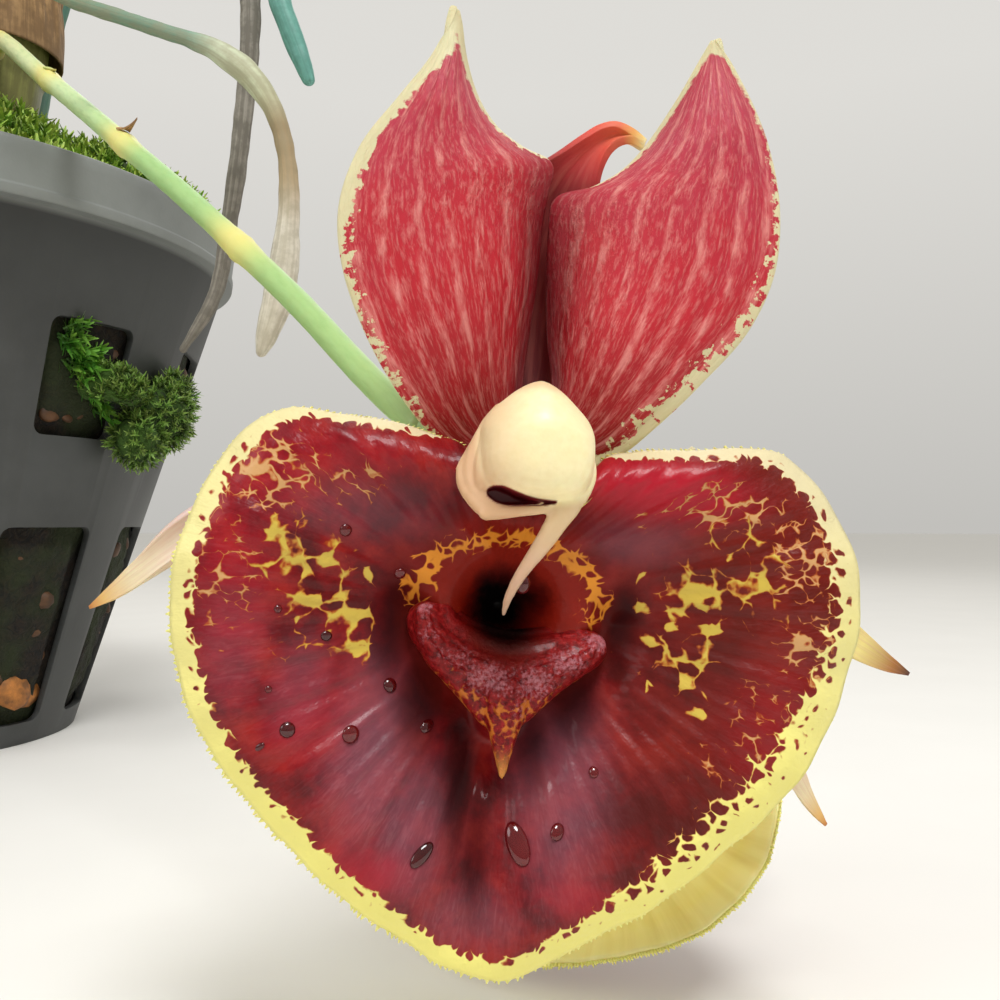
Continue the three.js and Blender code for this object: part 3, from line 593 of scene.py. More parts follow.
@dataclass(frozen=True)
class FibrousSkin:
    """Plant skin with fibres that run along it: bulb, root, dry sheath or bark.

    The eye sees fine lengthwise lines, a slow change of colour along the piece, and blotches.

    Attributes:
        name: What the skin is.
        along: Colours from the foot to the tip, by place along the piece.
        fleck: The colour of blotches and of the fibres' shade.
        fleck_share: How much of the skin the blotches take.
        lines: How many fibres go round the piece.
        roughness: How dull it is.
        relief: How strongly the fibres stand out.
    """

    name: str
    along: tuple[tuple[float, str], ...]
    fleck: str
    fleck_share: float = 0.35
    lines: float = 40.0
    roughness: float = 0.6
    relief: float = 0.4

    def make(self) -> Material:
        """Builds the material."""
        material, add = start_material(self.name, Roughness=self.roughness)
        place = add("Attribute", out="Fac", attribute_name="along")
        where = add("TexCoord", out="Object")
        stretched = add("Mapping", {"Vector": add("UVMap"), "Scale": (self.lines, 3, 1)})
        fibre = add("TexNoise", {"Vector": stretched, "Scale": 1, "Detail": 4})
        blotch = add("TexNoise", {"Vector": where, "Scale": 260, "Detail": 4, "Roughness": 0.65})
        body = add("ValToRGB", {"Fac": place}, self.along)
        both = add("Math", {0: fibre, 1: blotch}, operation="MULTIPLY")
        shade = add("MapRange", {"Value": both, 1: 0.2, 2: 0.34, 3: self.fleck_share * 2, 4: 0})
        relief = add("Bump", {"Height": fibre, "Strength": self.relief, "Distance": 0.0006})
        return finished(material, Base_Color=layered(add, body, (shade, self.fleck)), Normal=relief)


@dataclass(frozen=True)
class GreenStalk:
    """Young flower stalk: smooth, slightly waxy, cream-green with darker green flecks 1 mm long.

    The eye sees a soft sheen, a browner foot, and a yellow knot at each joint.
    """

    foot: str = "#c9a888"
    low: str = "#d8d8a0"
    pale: str = "#cde3ac"
    green: str = "#a0c880"
    tip: str = "#a4c67c"
    fleck: str = "#84ac62"
    knot: str = "#e6dc80"

    def make(self) -> Material:
        """Builds the material."""
        material, add = start_material("young_flower_stalk", Roughness=0.42, Subsurface_Weight=0.12,
                                       Subsurface_Scale=0.002)
        place, knot = (add("Attribute", out="Fac", attribute_name=name) for name in ("along", "knot"))
        long = add("Mapping", {"Vector": add("UVMap"), "Scale": (14, 60, 1)})
        line = add("TexNoise", {"Vector": long, "Scale": 1, "Detail": 3})
        fine = add("TexNoise", {"Vector": add("TexCoord", out="Object"), "Scale": 900})
        body = add("ValToRGB", {"Fac": place}, [(0, self.foot), (0.06, self.low), (0.3, self.pale),
                                                (0.55, self.green), (1, self.tip)])
        share = add("MapRange", {"Value": line, 1: 0.45, 2: 0.7, 4: 0.3})
        relief = add("Bump", {"Height": fine, "Strength": 0.15, "Distance": 0.0002})
        colour = layered(add, body, (share, self.fleck), (knot, self.knot))
        return finished(material, Base_Color=colour, Normal=relief)


@dataclass(frozen=True)
class LipFace:
    """Inner face of the lip: waxy maroon flesh in fine raised rays, netted and edged in yellow.

    The eye sees a wet sheen with sharp glints, rays 0.45 mm apart with painted pink highlights, a
    painted purplish sheen on the lower lobes, crimson patches with a painted highlight at the upper
    right, painted shade in the troughs and near black painted shade in the sac, a yellow net whose
    cells are 1 to 3 mm, and a yellow margin with a ragged inner edge.
    """

    maroon: str = "#780c10"
    brick: str = "#93201a"
    wine: str = "#540709"
    umber: str = "#66190a"
    # Painted light: the next colour is near black painted shade in the sac, then come a painted purplish
    # sheen, painted highlights on the rays, and crimson that also serves as a painted highlight at the upper
    # right.
    painted_pit_shade: str = "#080203"
    painted_sheen: str = "#84505e"
    hair: str = "#d08a90"
    crimson: str = "#b81c30"
    shade: str = "#240406"
    ember: str = "#8c1c0a"
    net: str = "#cfb44c"
    cream: str = "#cc9c66"
    glow: str = "#e0902f"
    amber: str = "#b0541e"
    margin: str = "#f3ea84"
    pale_margin: str = "#ddd0a6"

    def make(self) -> Material:
        """Builds the material."""
        material, add = start_material("waxy_lip_flesh", Coat_Weight=0.14, Coat_Roughness=0.12,
                                       Specular_IOR_Level=0.16)
        ray, flat, zones, tints, edge = (add("Attribute", out="Vector", attribute_name=name)
                                         for name in ("ray", "flat", "zones", "tints", "edge"))
        net, cream, glow = add("SeparateXYZ", {0: zones}, out=None)
        painted_sheen, crimson, shade = add("SeparateXYZ", {0: tints}, out=None)
        inside, ragged, paleness = add("SeparateXYZ", {0: edge}, out=None)
        right, _, share = add("SeparateXYZ", {0: flat}, out=None)
        radius = add("SeparateXYZ", {0: ray}, out=2)

        # The flesh: clouds of wine, maroon and brick, browner on the right, with fine rays, under a painted
        # purplish sheen, painted highlights on the rays, crimson with a painted highlight at the upper right,
        # painted shade in the troughs, and near black painted shade in the sac.
        rays = add("Mapping", {"Vector": ray, "Scale": (2.2, 2.2, 0.5)})
        streak = add("TexNoise", {"Vector": rays, "Scale": 1, "Detail": 2, "Roughness": 0.6,
                                  "Distortion": 1.2})
        cloud = add("TexNoise", {"Vector": flat, "Scale": 0.22, "Detail": 5, "Roughness": 0.6})
        body = add("ValToRGB", {"Fac": cloud}, [(0.38, self.wine), (0.5, self.maroon), (0.64, self.brick)])
        lines = add("MapRange", {"Value": streak, 1: 0.45, 2: 0.72, 4: 0.24})
        far = add("MapRange", {"Value": share, 1: 0.45, 2: 0.8})
        # Painted highlights: pale pink lines on the raised rays, strongest where the painted sheen lies.
        sheen = add("Math", {0: painted_sheen, 1: 0.85, 2: 0.14}, operation="MULTIPLY_ADD")
        hairs = add("Math", {0: sheen, 1: far}, operation="MULTIPLY")
        hairs = add("Math", {0: hairs, 1: lines}, operation="MULTIPLY")
        brown = add("MapRange", {"Value": right, 1: 5, 2: 20, 4: 0.7})
        radius = add("Math", {0: cloud, 1: 5, 2: radius}, operation="MULTIPLY_ADD")
        ember = add("MapRange", {"Value": radius, 1: 4.5, 2: 7.5, 4: 0.85})
        fading = add("MapRange", {"Value": radius, 1: 9.5, 2: 14.5, 3: 1, 4: 0})
        ember = add("Math", {0: ember, 1: fading}, operation="MULTIPLY")
        # Painted shade: near black inside the sac's mouth.
        deep = add("MapRange", {"Value": radius, 1: 4.4, 2: 7.4, 3: 1, 4: 0})
        body = layered(add, body, (brown, self.umber), (painted_sheen, self.painted_sheen), (hairs, self.hair),
                       (crimson, self.crimson), (shade, self.shade), (ember, self.ember), (deep, self.painted_pit_shade))

        # The net and the margin: yellow draws the walls between cells, thickest at their corners,
        # as far as the zone is strong or the margin is near. Each wall has an amber rim.
        bend = add("TexNoise", {"Vector": flat, "Scale": 0.5, "Detail": 1}, out="Color")
        bent = [add("VectorMath", {0: bend, 1: (2.6, 2.6, 0), 2: place}, operation="MULTIPLY_ADD")
                for place in (flat, ray)]
        uneven = add("TexNoise", {"Vector": flat, "Scale": 0.9, "Detail": 2})
        near = add("Math", {0: inside, 1: ragged}, operation="DIVIDE")
        reach = [add("MapRange", {"Value": zone, 3: 1.35, 4: 0.42}) for zone in (cream, glow, net)]
        reach.append(add("MapRange", {"Value": near, 1: -0.5, 2: 1.4, 3: -0.25, 4: 1.24}))
        margin = add("Mix", {0: paleness, 6: linear(self.margin), 7: linear(self.pale_margin)}, out=2,
                     data_type="RGBA")
        for least, place, size, colour in zip(
                reach, (bent[1], bent[0], bent[0], bent[1]),
                ((0.85, 0.85, 0.5), (0.85, 0.85, 0), (0.44, 0.44, 0), (0.8, 0.8, 0.6)),
                (linear(self.cream), linear(self.glow), linear(self.net), margin)):
            cells = add("Mapping", {"Vector": place, "Scale": size})
            away, wall = (add("TexVoronoi", {"Vector": cells, "Scale": 1, "Randomness": 0.85},
                              feature=feature) for feature in ("F1", "DISTANCE_TO_EDGE"))
            level = add("Math", {0: wall, 1: -1.1, 2: 0.32}, operation="MULTIPLY_ADD")
            for part, weight in ((away, 0.6), (uneven, 0.5)):
                level = add("Math", {0: part, 1: weight, 2: level}, operation="MULTIPLY_ADD")
            gap = add("Math", {0: level, 1: least}, operation="SUBTRACT")
            drawn = add("MapRange", {"Value": gap, 1: -0.04, 2: 0.03})
            full = add("MapRange", {"Value": gap, 1: 0, 2: 0.12})
            wall_colour = add("Mix", {0: full, 6: linear(self.amber), 7: colour}, out=2, data_type="RGBA")
            body = layered(add, body, (drawn, wall_colour))

        gloss = add("MapRange", {"Value": streak, 1: 0.3, 2: 0.7, 3: 0.28, 4: 0.42})
        dull = add("Math", {0: shade, 1: 1.1, 2: gloss}, operation="MULTIPLY_ADD")
        dull = add("Math", {0: deep, 1: dull}, operation="MAXIMUM")
        height = add("Math", {0: streak, 1: far}, operation="MULTIPLY")
        relief = add("Bump", {"Height": height, "Strength": 0.18, "Distance": 0.0004})
        pucker = add("TexNoise", {"Vector": flat, "Scale": 0.5, "Detail": 3})
        relief = add("Bump", {"Height": pucker, "Strength": 0.35, "Distance": 0.001, "Normal": relief})
        return finished(material, Base_Color=body, Roughness=dull, Normal=relief)


@dataclass(frozen=True)
class LipBack:
    """Outer face of the lip: smooth butter-yellow flesh, green at the sac, with faint long veins.

    The eye sees a soft satin skin, and a maroon rim beside the notch where the face rolls over.
    """

    yellow: str = "#fcf2aa"
    deep: str = "#f8ea8c"
    green: str = "#d6de8c"
    vein: str = "#e6d272"
    rim: str = "#780c10"

    def make(self) -> Material:
        """Builds the material."""
        material, add = start_material("lip_outer_flesh", Roughness=0.42, Subsurface_Weight=0.15,
                                       Subsurface_Scale=0.002)
        flat, ray = (add("Attribute", out="Vector", attribute_name=name) for name in ("flat", "ray"))
        share = add("SeparateXYZ", {0: flat}, out=2)
        rays = add("Mapping", {"Vector": ray, "Scale": (0.5, 0.5, 0.03)})
        vein = add("TexNoise", {"Vector": rays, "Detail": 3, "Scale": 1})
        body = add("ValToRGB", {"Fac": share},
                   [(0.1, self.green), (0.45, self.yellow), (0.85, self.deep), (1, self.yellow)])
        fade = add("MapRange", {"Value": vein, 1: 0.4, 2: 0.65, 4: 0.4})
        heart = add("VectorMath", {0: flat, 1: (1, 1, 0)}, operation="MULTIPLY")
        heart = add("VectorMath", {0: heart}, out="Value", operation="LENGTH")
        heart = add("MapRange", {"Value": heart, 1: 9, 2: 11.5, 3: 1, 4: 0})
        rim = add("MapRange", {"Value": share, 1: 0.95, 2: 0.98})
        heart = add("Math", {0: heart, 1: rim}, operation="MULTIPLY")
        relief = add("Bump", {"Height": vein, "Strength": 0.2, "Distance": 0.0006})
        colour = layered(add, body, (fade, self.vein), (heart, self.rim))
        return finished(material, Base_Color=colour, Normal=relief)


@dataclass(frozen=True)
class CallusFlesh:
    """Warty callus at the mouth of the sac: wet dark red flesh with whitish pink warts, paler on the crests
    as a painted sheen.

    The eye sees a netting of orange on its outer side and its tooth, a wet gloss on the warts,
    and near black painted shade where it dips into the sac.
    """

    red: str = "#7c0e10"
    dark: str = "#560608"
    bright: str = "#94181a"
    pale: str = "#b8403c"
    pale_wart_and_sheen: str = "#c07c86"
    orange: str = "#cc7428"
    tip: str = "#e9a94e"
    inner: str = "#6a0e0a"
    painted_pit_shade: str = "#080203"

    def make(self) -> Material:
        """Builds the material."""
        material, add = start_material("callus_flesh", Roughness=0.36, Coat_Weight=0.15,
                                       Coat_Roughness=0.15, Specular_IOR_Level=0.2)
        local, parts = (add("Attribute", out="Vector", attribute_name=name) for name in ("local", "parts"))
        crest, outer, tooth = add("SeparateXYZ", {0: parts}, out=None)
        speck = add("TexNoise", {"Vector": local, "Scale": 2.4, "Detail": 4, "Roughness": 0.7})
        level = add("Math", {0: crest, 1: 0.4, 2: speck}, operation="MULTIPLY_ADD")
        # Pale pink warts, paler still as a painted sheen on the crests.
        pale_wart_and_sheen = add("MapRange", {"Value": level, 1: 0.7, 2: 0.92, 4: 0.8})
        patch = add("TexNoise", {"Vector": local, "Scale": 1.6, "Detail": 4, "Roughness": 0.65})
        cells = add("TexVoronoi", {"Vector": local, "Scale": 1.3})
        body = add("ValToRGB", {"Fac": patch},
                   [(0.34, self.dark), (0.46, self.red), (0.6, self.bright), (0.76, self.pale)])
        level = add("Math", {0: patch, 1: 0.6, 2: cells}, operation="MULTIPLY_ADD")
        least = add("MapRange", {"Value": outer, 3: 1.5, 4: 0.92})
        gap = add("Math", {0: level, 1: least}, operation="SUBTRACT")
        netted = add("MapRange", {"Value": gap, 1: -0.08, 2: 0.1, 4: 0.9})
        # Painted shade: dark red, then near black, where the callus dips into the sac.
        deep = add("Attribute", out="Fac", attribute_name="deep")
        sunk, sunken = (add("MapRange", {"Value": deep, 1: low, 2: high})
                        for low, high in ((0.05, 0.5), (0.5, 1)))
        body = layered(add, body, (netted, self.orange), (pale_wart_and_sheen, self.pale_wart_and_sheen), (tooth, self.tip),
                       (sunk, self.inner), (sunken, self.painted_pit_shade))
        relief = add("Bump", {"Height": patch, "Strength": 0.5, "Distance": 0.0006})
        return finished(material, Base_Color=body, Normal=relief)


@dataclass(frozen=True)
class PetalFlesh:
    """Petal: thin crimson flesh with broken pink stripes 2.5 mm apart, fanned, and a cream edge.

    The eye sees a deeper red low down, a purplish red above, a fine grain along the stripes, a speckled
    edge, and painted shade along the inner edge where it curls back and at the base.
    """

    foot: str = "#a5141c"
    red: str = "#bc2430"
    top: str = "#b23448"
    pink: str = "#e09088"
    # Painted shade along the curled-back inner edge and at the base.
    painted_fold_shade: str = "#4c060c"
    edge: str = "#d8cfa4"

    def make(self) -> Material:
        """Builds the material."""
        material, add = start_material("petal_flesh", Roughness=0.48, Specular_IOR_Level=0.3,
                                       Subsurface_Weight=0.08, Subsurface_Scale=0.001)
        own = add("UVMap")
        local, edge = (add("Attribute", out="Vector", attribute_name=name) for name in ("local", "edge"))
        inside, ragged, painted_fold_shade = add("SeparateXYZ", {0: edge}, out=None)
        across, along, _ = add("SeparateXYZ", {0: own}, out=None)
        sway = add("TexNoise", {"Vector": local, "Scale": 0.11, "Detail": 1})
        turn = add("Math", {0: sway, 1: 0.12, 2: across}, operation="MULTIPLY_ADD")
        wave = add("Math", {0: add("Math", {0: turn, 1: 46}, operation="MULTIPLY")}, operation="SINE")
        stripe = add("MapRange", {"Value": wave, 1: 0.2, 2: 1})
        pieces = add("Mapping", {"Vector": own, "Scale": (16, 13, 1)})
        broken = add("TexNoise", {"Vector": pieces, "Scale": 1, "Detail": 4, "Roughness": 0.65})
        kept = add("MapRange", {"Value": broken, 1: 0.4, 2: 0.62})
        stripe = add("Math", {0: stripe, 1: kept}, operation="MULTIPLY")
        fine = add("Mapping", {"Vector": own, "Scale": (64, 26, 1)})
        hair = add("TexNoise", {"Vector": fine, "Scale": 1, "Detail": 3, "Roughness": 0.7})
        grit = add("MapRange", {"Value": hair, 1: 0.46, 2: 0.7, 4: 0.8})
        both = add("Math", {0: stripe, 1: grit}, operation="ADD")
        cloud = add("TexNoise", {"Vector": local, "Scale": 0.16, "Detail": 3})
        rise = add("Math", {0: cloud, 1: 0.45, 2: along}, operation="MULTIPLY_ADD")
        body = add("ValToRGB", {"Fac": rise}, [(0.3, self.foot), (0.62, self.red), (1, self.top)])
        pink = add("MapRange", {"Value": both, 1: 0.05, 2: 1.2, 4: 0.8})
        torn = add("TexNoise", {"Vector": local, "Scale": 1.1, "Detail": 3, "Roughness": 0.6})
        centred = add("MapRange", {"Value": torn, 1: 0.25, 2: 0.75, 3: -1, 4: 1})
        step = add("Math", {0: centred, 1: ragged, 2: inside}, operation="MULTIPLY_ADD")
        band = add("MapRange", {"Value": step, 1: 0.15, 2: -0.15})
        relief = add("Bump", {"Height": both, "Strength": 0.35, "Distance": 0.0004})
        body = layered(add, body, (pink, self.pink), (painted_fold_shade, self.painted_fold_shade), (band, self.edge))
        return finished(material, Base_Color=body, Normal=relief)


@dataclass(frozen=True)
class SepalFlesh:
    """Sepal: pinkish cream flesh flushed red in soft long streaks, drying to orange at its tip."""

    name: str
    stops: tuple[tuple[float, str], ...]
    flush: str = "#d09a90"
    flush_share: float = 0.3

    def make(self) -> Material:
        """Builds the material."""
        material, add = start_material(self.name, Roughness=0.5, Specular_IOR_Level=0.2,
                                       Subsurface_Weight=0.1, Subsurface_Scale=0.001)
        own = add("UVMap")
        body = add("ValToRGB", {"Fac": add("SeparateXYZ", {0: own}, out=1)}, self.stops)
        long = add("Mapping", {"Vector": own, "Scale": (7, 3, 1)})
        streak = add("TexNoise", {"Vector": long, "Scale": 1, "Detail": 4, "Roughness": 0.6})
        share = add("MapRange", {"Value": streak, 1: 0.45, 2: 0.65, 4: self.flush_share})
        relief = add("Bump", {"Height": streak, "Strength": 0.3, "Distance": 0.0004})
        return finished(material, Base_Color=layered(add, body, (share, self.flush)), Normal=relief)


@dataclass(frozen=True)
class ColumnFlesh:
    """Column: smooth waxy cream flesh, peach on its underside and as painted shade on its left side, dark red
    in the stigma's hollow.
    """

    cream: str = "#fcefbe"
    deep_cream: str = "#f7e8b4"
    # Peach of the underside, also laid as painted shade on the left side.
    peach_and_shade: str = "#cfa078"
    antenna: str = "#e2bca4"
    dark: str = "#74101a"

    def make(self) -> Material:
        """Builds the material."""
        material, add = start_material("column_flesh", Roughness=0.4, Subsurface_Weight=0.2,
                                       Subsurface_Scale=0.002, Subsurface_Radius=(1, 0.6, 0.35))
        local, zones = (add("Attribute", out="Vector", attribute_name=name) for name in ("local", "zones"))
        peach_and_shade, antenna, hollow = add("SeparateXYZ", {0: zones}, out=None)
        fine = add("TexNoise", {"Vector": local, "Scale": 1.5, "Detail": 4})
        body = add("ValToRGB", {"Fac": fine}, [(0.3, self.deep_cream), (0.7, self.cream)])
        body = layered(add, body, (peach_and_shade, self.peach_and_shade), (antenna, self.antenna), (hollow, self.dark))
        relief = add("Bump", {"Height": fine, "Strength": 0.1, "Distance": 0.0003})
        return finished(material, Base_Color=body, Normal=relief)


@dataclass(frozen=True)
class ClearWater:
    """Drops of water on red flesh: they take its colour, darker, with a hard glint."""

    dark: str = "#4a060a"
    bright: str = "#7c1418"

    def make(self) -> Material:
        """Builds the material."""
        material, add = start_material("clear_water", Roughness=0.02, IOR=1.4, Coat_Weight=0.6,
                                       Coat_Roughness=0.02, Transmission_Weight=0.4)
        depth = add("TexNoise", {"Vector": add("TexCoord", out="Object"), "Scale": 90})
        colour = add("ValToRGB", {"Fac": depth}, [(0.4, self.dark), (0.6, self.bright)])
        return finished(material, Base_Color=colour)


@dataclass(frozen=True)
class StudioPaper:
    """Pale matt paper under the pot, with a grain too fine to see."""

    shade: str = "#edebe6"
    colour: str = "#efede8"

    def make(self) -> Material:
        """Builds the material."""
        material, add = start_material("studio_paper", Roughness=0.9)
        tooth = add("TexNoise", {"Vector": add("TexCoord", out="Object"), "Scale": 30})
        colour = add("ValToRGB", {"Fac": tooth}, [(0.3, self.shade), (0.7, self.colour)])
        return finished(material, Base_Color=colour)


# Pieces


@dataclass
class Window:
    """One row of windows: its lower and upper level, and its half width in degrees."""

    low: float
    high: float
    half_width: float


@dataclass
class Basket:
    """Tapered net basket with a deep rim band, two rows of windows and drain slots."""

    height: float = 140
    base_radius: float = 46
    wall_top_radius: float = 86.5
    wall_top: float = 127
    rim_radius: float = 90
    wall: float = 2.2
    floor: float = 2.4
    columns: int = 10
    first_column: float = -27
    windows: tuple[Window, ...] = (Window(6, 56, 11.5), Window(78, 105, 8.6))
    drain: Spot = (17, 39, 5)

    @property
    def step(self) -> float:
        """Gives the angle in degrees from one column of windows to the next."""
        return 360 / self.columns

    def wall_radius(self, level: Array) -> Array:
        """Gives the outer radius of the wall at a level."""
        share = np.minimum(np.asarray(level, float) / self.wall_top, 1)
        return self.base_radius + (self.wall_top_radius - self.base_radius) * share

    def shell(self) -> Piece:
        """Draws the wall, the rim and the inside from one cone, by extruding its top face."""
        piece = primitive("cone", vertices=160, radius1=self.base_radius * MM,
            radius2=self.wall_top_radius * MM, depth=self.wall_top * MM,
            location=(0, 0, self.wall_top / 2 * MM))
        bore = self.wall_top_radius - self.wall
        inner_floor = float(self.wall_radius(self.floor)) - self.wall
        rim, foot, top = self.rim_radius, self.wall_top, self.height
        steps = [(rim - 0.8, foot), (rim - 0.5, foot + 2.2), (rim - 1.0, foot + 2.8), (rim - 0.2, top - 3.4),
                 (rim, top - 1.6), (rim - 0.4, top - 0.5), (rim - 1.4, top), (bore + 0.8, top),
                 (bore, top - 0.8), (bore, foot), (inner_floor, self.floor)]
        radius, level = self.wall_top_radius, self.wall_top
        with edit_mode(piece, lambda mesh: [max(mesh.polygons, key=lambda face: face.center.z)], "FACE"):
            for next_radius, next_level in steps:
                share = next_radius / radius
                bpy.ops.mesh.extrude_region_move(
                    TRANSFORM_OT_translate={"value": (0, 0, (next_level - level) * MM)})
                bpy.ops.transform.resize(value=(share, share, 1))
                radius, level = next_radius, next_level
            bpy.ops.mesh.select_all(action="SELECT")
            bpy.ops.mesh.normals_make_consistent(inside=False)
        return piece

    def cutter(self, window: Window) -> Piece:
        """Shapes one taper-sided window cutter with eased corners, on the +X side."""
        sine = math.sin(math.radians(window.half_width))
        low, high = (float(self.wall_radius(level)) * sine * 2 for level in (window.low, window.high))
        rise = window.high - window.low
        middle = (window.low + rise / 2) * MM
        piece = primitive("cube", size=MM)
        with edit_mode(piece):
            bpy.ops.transform.resize(value=(90, low, rise))
            bpy.ops.transform.translate(value=(0.068, 0, middle))
        with edit_mode(piece, lambda mesh: [vertex for vertex in mesh.vertices if vertex.co.z > middle]):
            bpy.ops.transform.resize(value=(1, high / low, 1))

        def lengthwise(mesh: bpy.types.Mesh) -> list[bpy.types.MeshEdge]:
            """Gives the edges that run through the wall."""
            ends = [[mesh.vertices[k].co.x for k in edge.vertices] for edge in mesh.edges]
            return [edge for edge, (a, b) in zip(mesh.edges, ends) if abs(a - b) > 0.05]

        with edit_mode(piece, lengthwise, "EDGE"):
            bpy.ops.mesh.bevel(offset=2.5 * MM, segments=5)
        return piece

    def slot_cutter(self) -> Piece:
        """Shapes one drain slot's cutter, on the +X side."""
        start, end, width = self.drain
        piece = primitive("cube", size=MM)
        with edit_mode(piece):
            bpy.ops.transform.resize(value=(end - start, width, self.floor * 4))
            bpy.ops.transform.translate(value=((start + end) / 2 * MM, 0, 0))
        return piece

    def build(self) -> Piece:
        """Cuts the windows and drains, eases the edges and dresses the basket."""
        basket = self.shell()
        cutters = []
        for model in [self.cutter(window) for window in self.windows] + [self.slot_cutter()]:
            for column in range(self.columns):
                turn = math.radians(self.first_column + self.step * column)
                copy = bpy.data.objects.new("cutter", model.data.copy())
                bpy.context.collection.objects.link(copy)
                copy.data.transform(Matrix.Rotation(turn, 4, "Z"))
                cutters.append(copy)
            bpy.data.objects.remove(model)
        tool = joined("cutter", cutters)
        modified(basket, "BOOLEAN", object=tool, operation="DIFFERENCE", solver="EXACT")
        modified(basket, "BEVEL", width=0.5 * MM, segments=2, limit_method="ANGLE",
                 angle_limit=math.radians(35))
        bpy.data.objects.remove(tool)
        basket.name = basket.data.name = "net_basket"
        dress(basket, "basket_plastic", ["basket"], MouldedPolypropylene().make())
        only(basket)
        bpy.ops.object.shade_smooth_by_angle(angle=math.radians(32))
        return basket


@dataclass
class MossBed:
    """Planting mix in the basket, living moss on top and out of one window, and a leafy sprig."""

    basket: Basket
    crown: float = 171
    tuft_angle: float = -10
    tuft_level: float = 85
    tuft_radius: float = 11.5
    tuft_proud: float = 5
    shoots: int = 5200
    bark_turn: float = -27.0
    bark_tone: float = 1.6
    seed: int = 7

    def level(self, radius: Array, x: Array, y: Array) -> Array:
        """Gives the mound's height at a place, lumps and all."""
        full = through([(0, self.crown), (20, 170.5), (36, 169.5), (52, 167.5), (64, 163.5),
                        (72, 158.5), (78, 152), (83.4, 137)])(radius)
        worn = through([(0, self.crown), (20, 170.5), (32, 168.5), (42, 162), (52, 153.5), (62, 147),
                        (72, 142), (83.4, 137)])(radius)
        mound = lerp(full, worn, ramp(0, 34, x) * ramp(26, -12, y))
        lump = np.sin(x * 0.19 + 1.3) * np.cos(y * 0.17) + 0.6 * np.sin(x * 0.31 - y * 0.27)
        return mound + 1.2 * lump * ramp(83.4, 76, radius)

    def core(self) -> Piece:
        """Makes the mix: it fills the basket, swells into the windows and is heaped above the rim."""
        turns = np.radians(self.basket.first_column) + np.linspace(0, math.tau, 321)
        offset = (np.degrees(turns) - self.basket.first_column) % self.basket.step
        offset = np.minimum(offset, self.basket.step - offset)
        inner = self.basket.wall_top_radius - self.basket.wall
        walls = np.linspace(self.basket.floor + 0.5, 137, 110)
        rows = [around(np.array(radius), turns, walls[0]) for radius in (0.0, 12.0, 25.0, 36.0)]
        for level in walls:
            swell = np.zeros_like(turns)
            for window in self.basket.windows:
                up = (ramp(window.low + 1, window.low + 7, level)
                      * ramp(window.high - 1, window.high - 7, level))
                swell = swell + 1.9 * up * ramp(window.half_width - 0.5, window.half_width - 4, offset)
            reach = min(float(self.basket.wall_radius(level)) - self.basket.wall, inner) - 0.5 + swell
            rows.append(around(reach, turns, level))
        for radius in np.linspace(83, 0, 60):
            x, y = radius * np.cos(turns), radius * np.sin(turns)
            rows.append(np.stack([x, y, self.level(np.full_like(turns, radius), x, y)], -1))
        rings = np.array(rows)
        rough = grain(rings, 3.2) + 0.6 * grain(rings, 1.3)
        rough[:, -1] = rough[:, 0]
        axis = np.array([0.0, 0.0, 80.0])
        inward = axis - rings
        inward /= np.linalg.norm(inward, axis=-1)[..., None]
        return skin("planting_mix", rings + inward * (0.5 + 0.7 * rough)[..., None].clip(0, 2), True)

    def shoot(self) -> Piece:
        """Shapes one moss shoot 1 mm tall: a stalk cone with three tiers of narrow leaves."""
        parts = [primitive("cone", vertices=4, radius1=0.09 * MM, radius2=0.02 * MM, depth=MM,
                           location=(0, 0, MM / 2), end_fill_type="NOTHING")]
        for leaf in range(9):
            turn, foot = leaf * 2.4, 0.12 + leaf * 0.095
            blade = primitive("plane", size=MM)
            spots = positions(blade)
            out, side = spots[:, 0] + 0.5, spots[:, 1] * 0.26
            reach = 0.62 - 0.03 * leaf
            narrow = np.where(out > 0.5, 0.25, 1)
            flat = np.stack([out * reach, side * narrow, foot + out * (0.26 + 0.02 * leaf)], -1)
            spin = np.array(Matrix.Rotation(turn, 3, "Z"))
            reshape(blade, flat @ spin.T)
            parts.append(blade)
        return joined("shoot", parts)

    def stand(self, base: Vector, out: Vector, size: float, dice: random.Random) -> Matrix:
        """Places a shoot: at a point, pointing outwards with some lean, turned at random."""
        lean = Vector((dice.gauss(0, 0.28), dice.gauss(0, 0.28), dice.gauss(0, 0.28)))
        turn = (out.normalized() + lean).to_track_quat("Z", "Y").to_matrix().to_4x4()
        spin = Matrix.Rotation(dice.uniform(0, 6.28), 4, "Z")
        return Matrix.Translation(base) @ turn @ spin @ Matrix.Diagonal((size, size, size * 1.25, 1))

    def carpet(self) -> Piece:
        """Covers the mound in living moss."""
        dice = random.Random(self.seed)
        places, tones = [], []
        while len(places) < self.shoots:
            radius, turn = 82.5 * math.sqrt(dice.random()), dice.uniform(0, math.tau)
            x, y = radius * math.cos(turn), radius * math.sin(turn)
            level = float(self.level(np.array(radius), np.array(x), np.array(y)))
            slope = ramp(50, 83, np.array(radius)) * 1.1
            out = Vector((x / 80 * float(slope), y / 80 * float(slope), 1))
            tone = 0.5 + 0.5 * noise.noise(Vector((x / 17, y / 17, 3)))
            if dice.random() < 0.25 + 0.9 * tone:
                places.append(self.stand(Vector((x, y, level - 1.3)), out, dice.uniform(2.4, 4.6), dice))
                tones.append(min(max(tone + dice.gauss(0, 0.12), 0), 1))
        return scattered("moss_carpet", self.shoot(), places, tones)

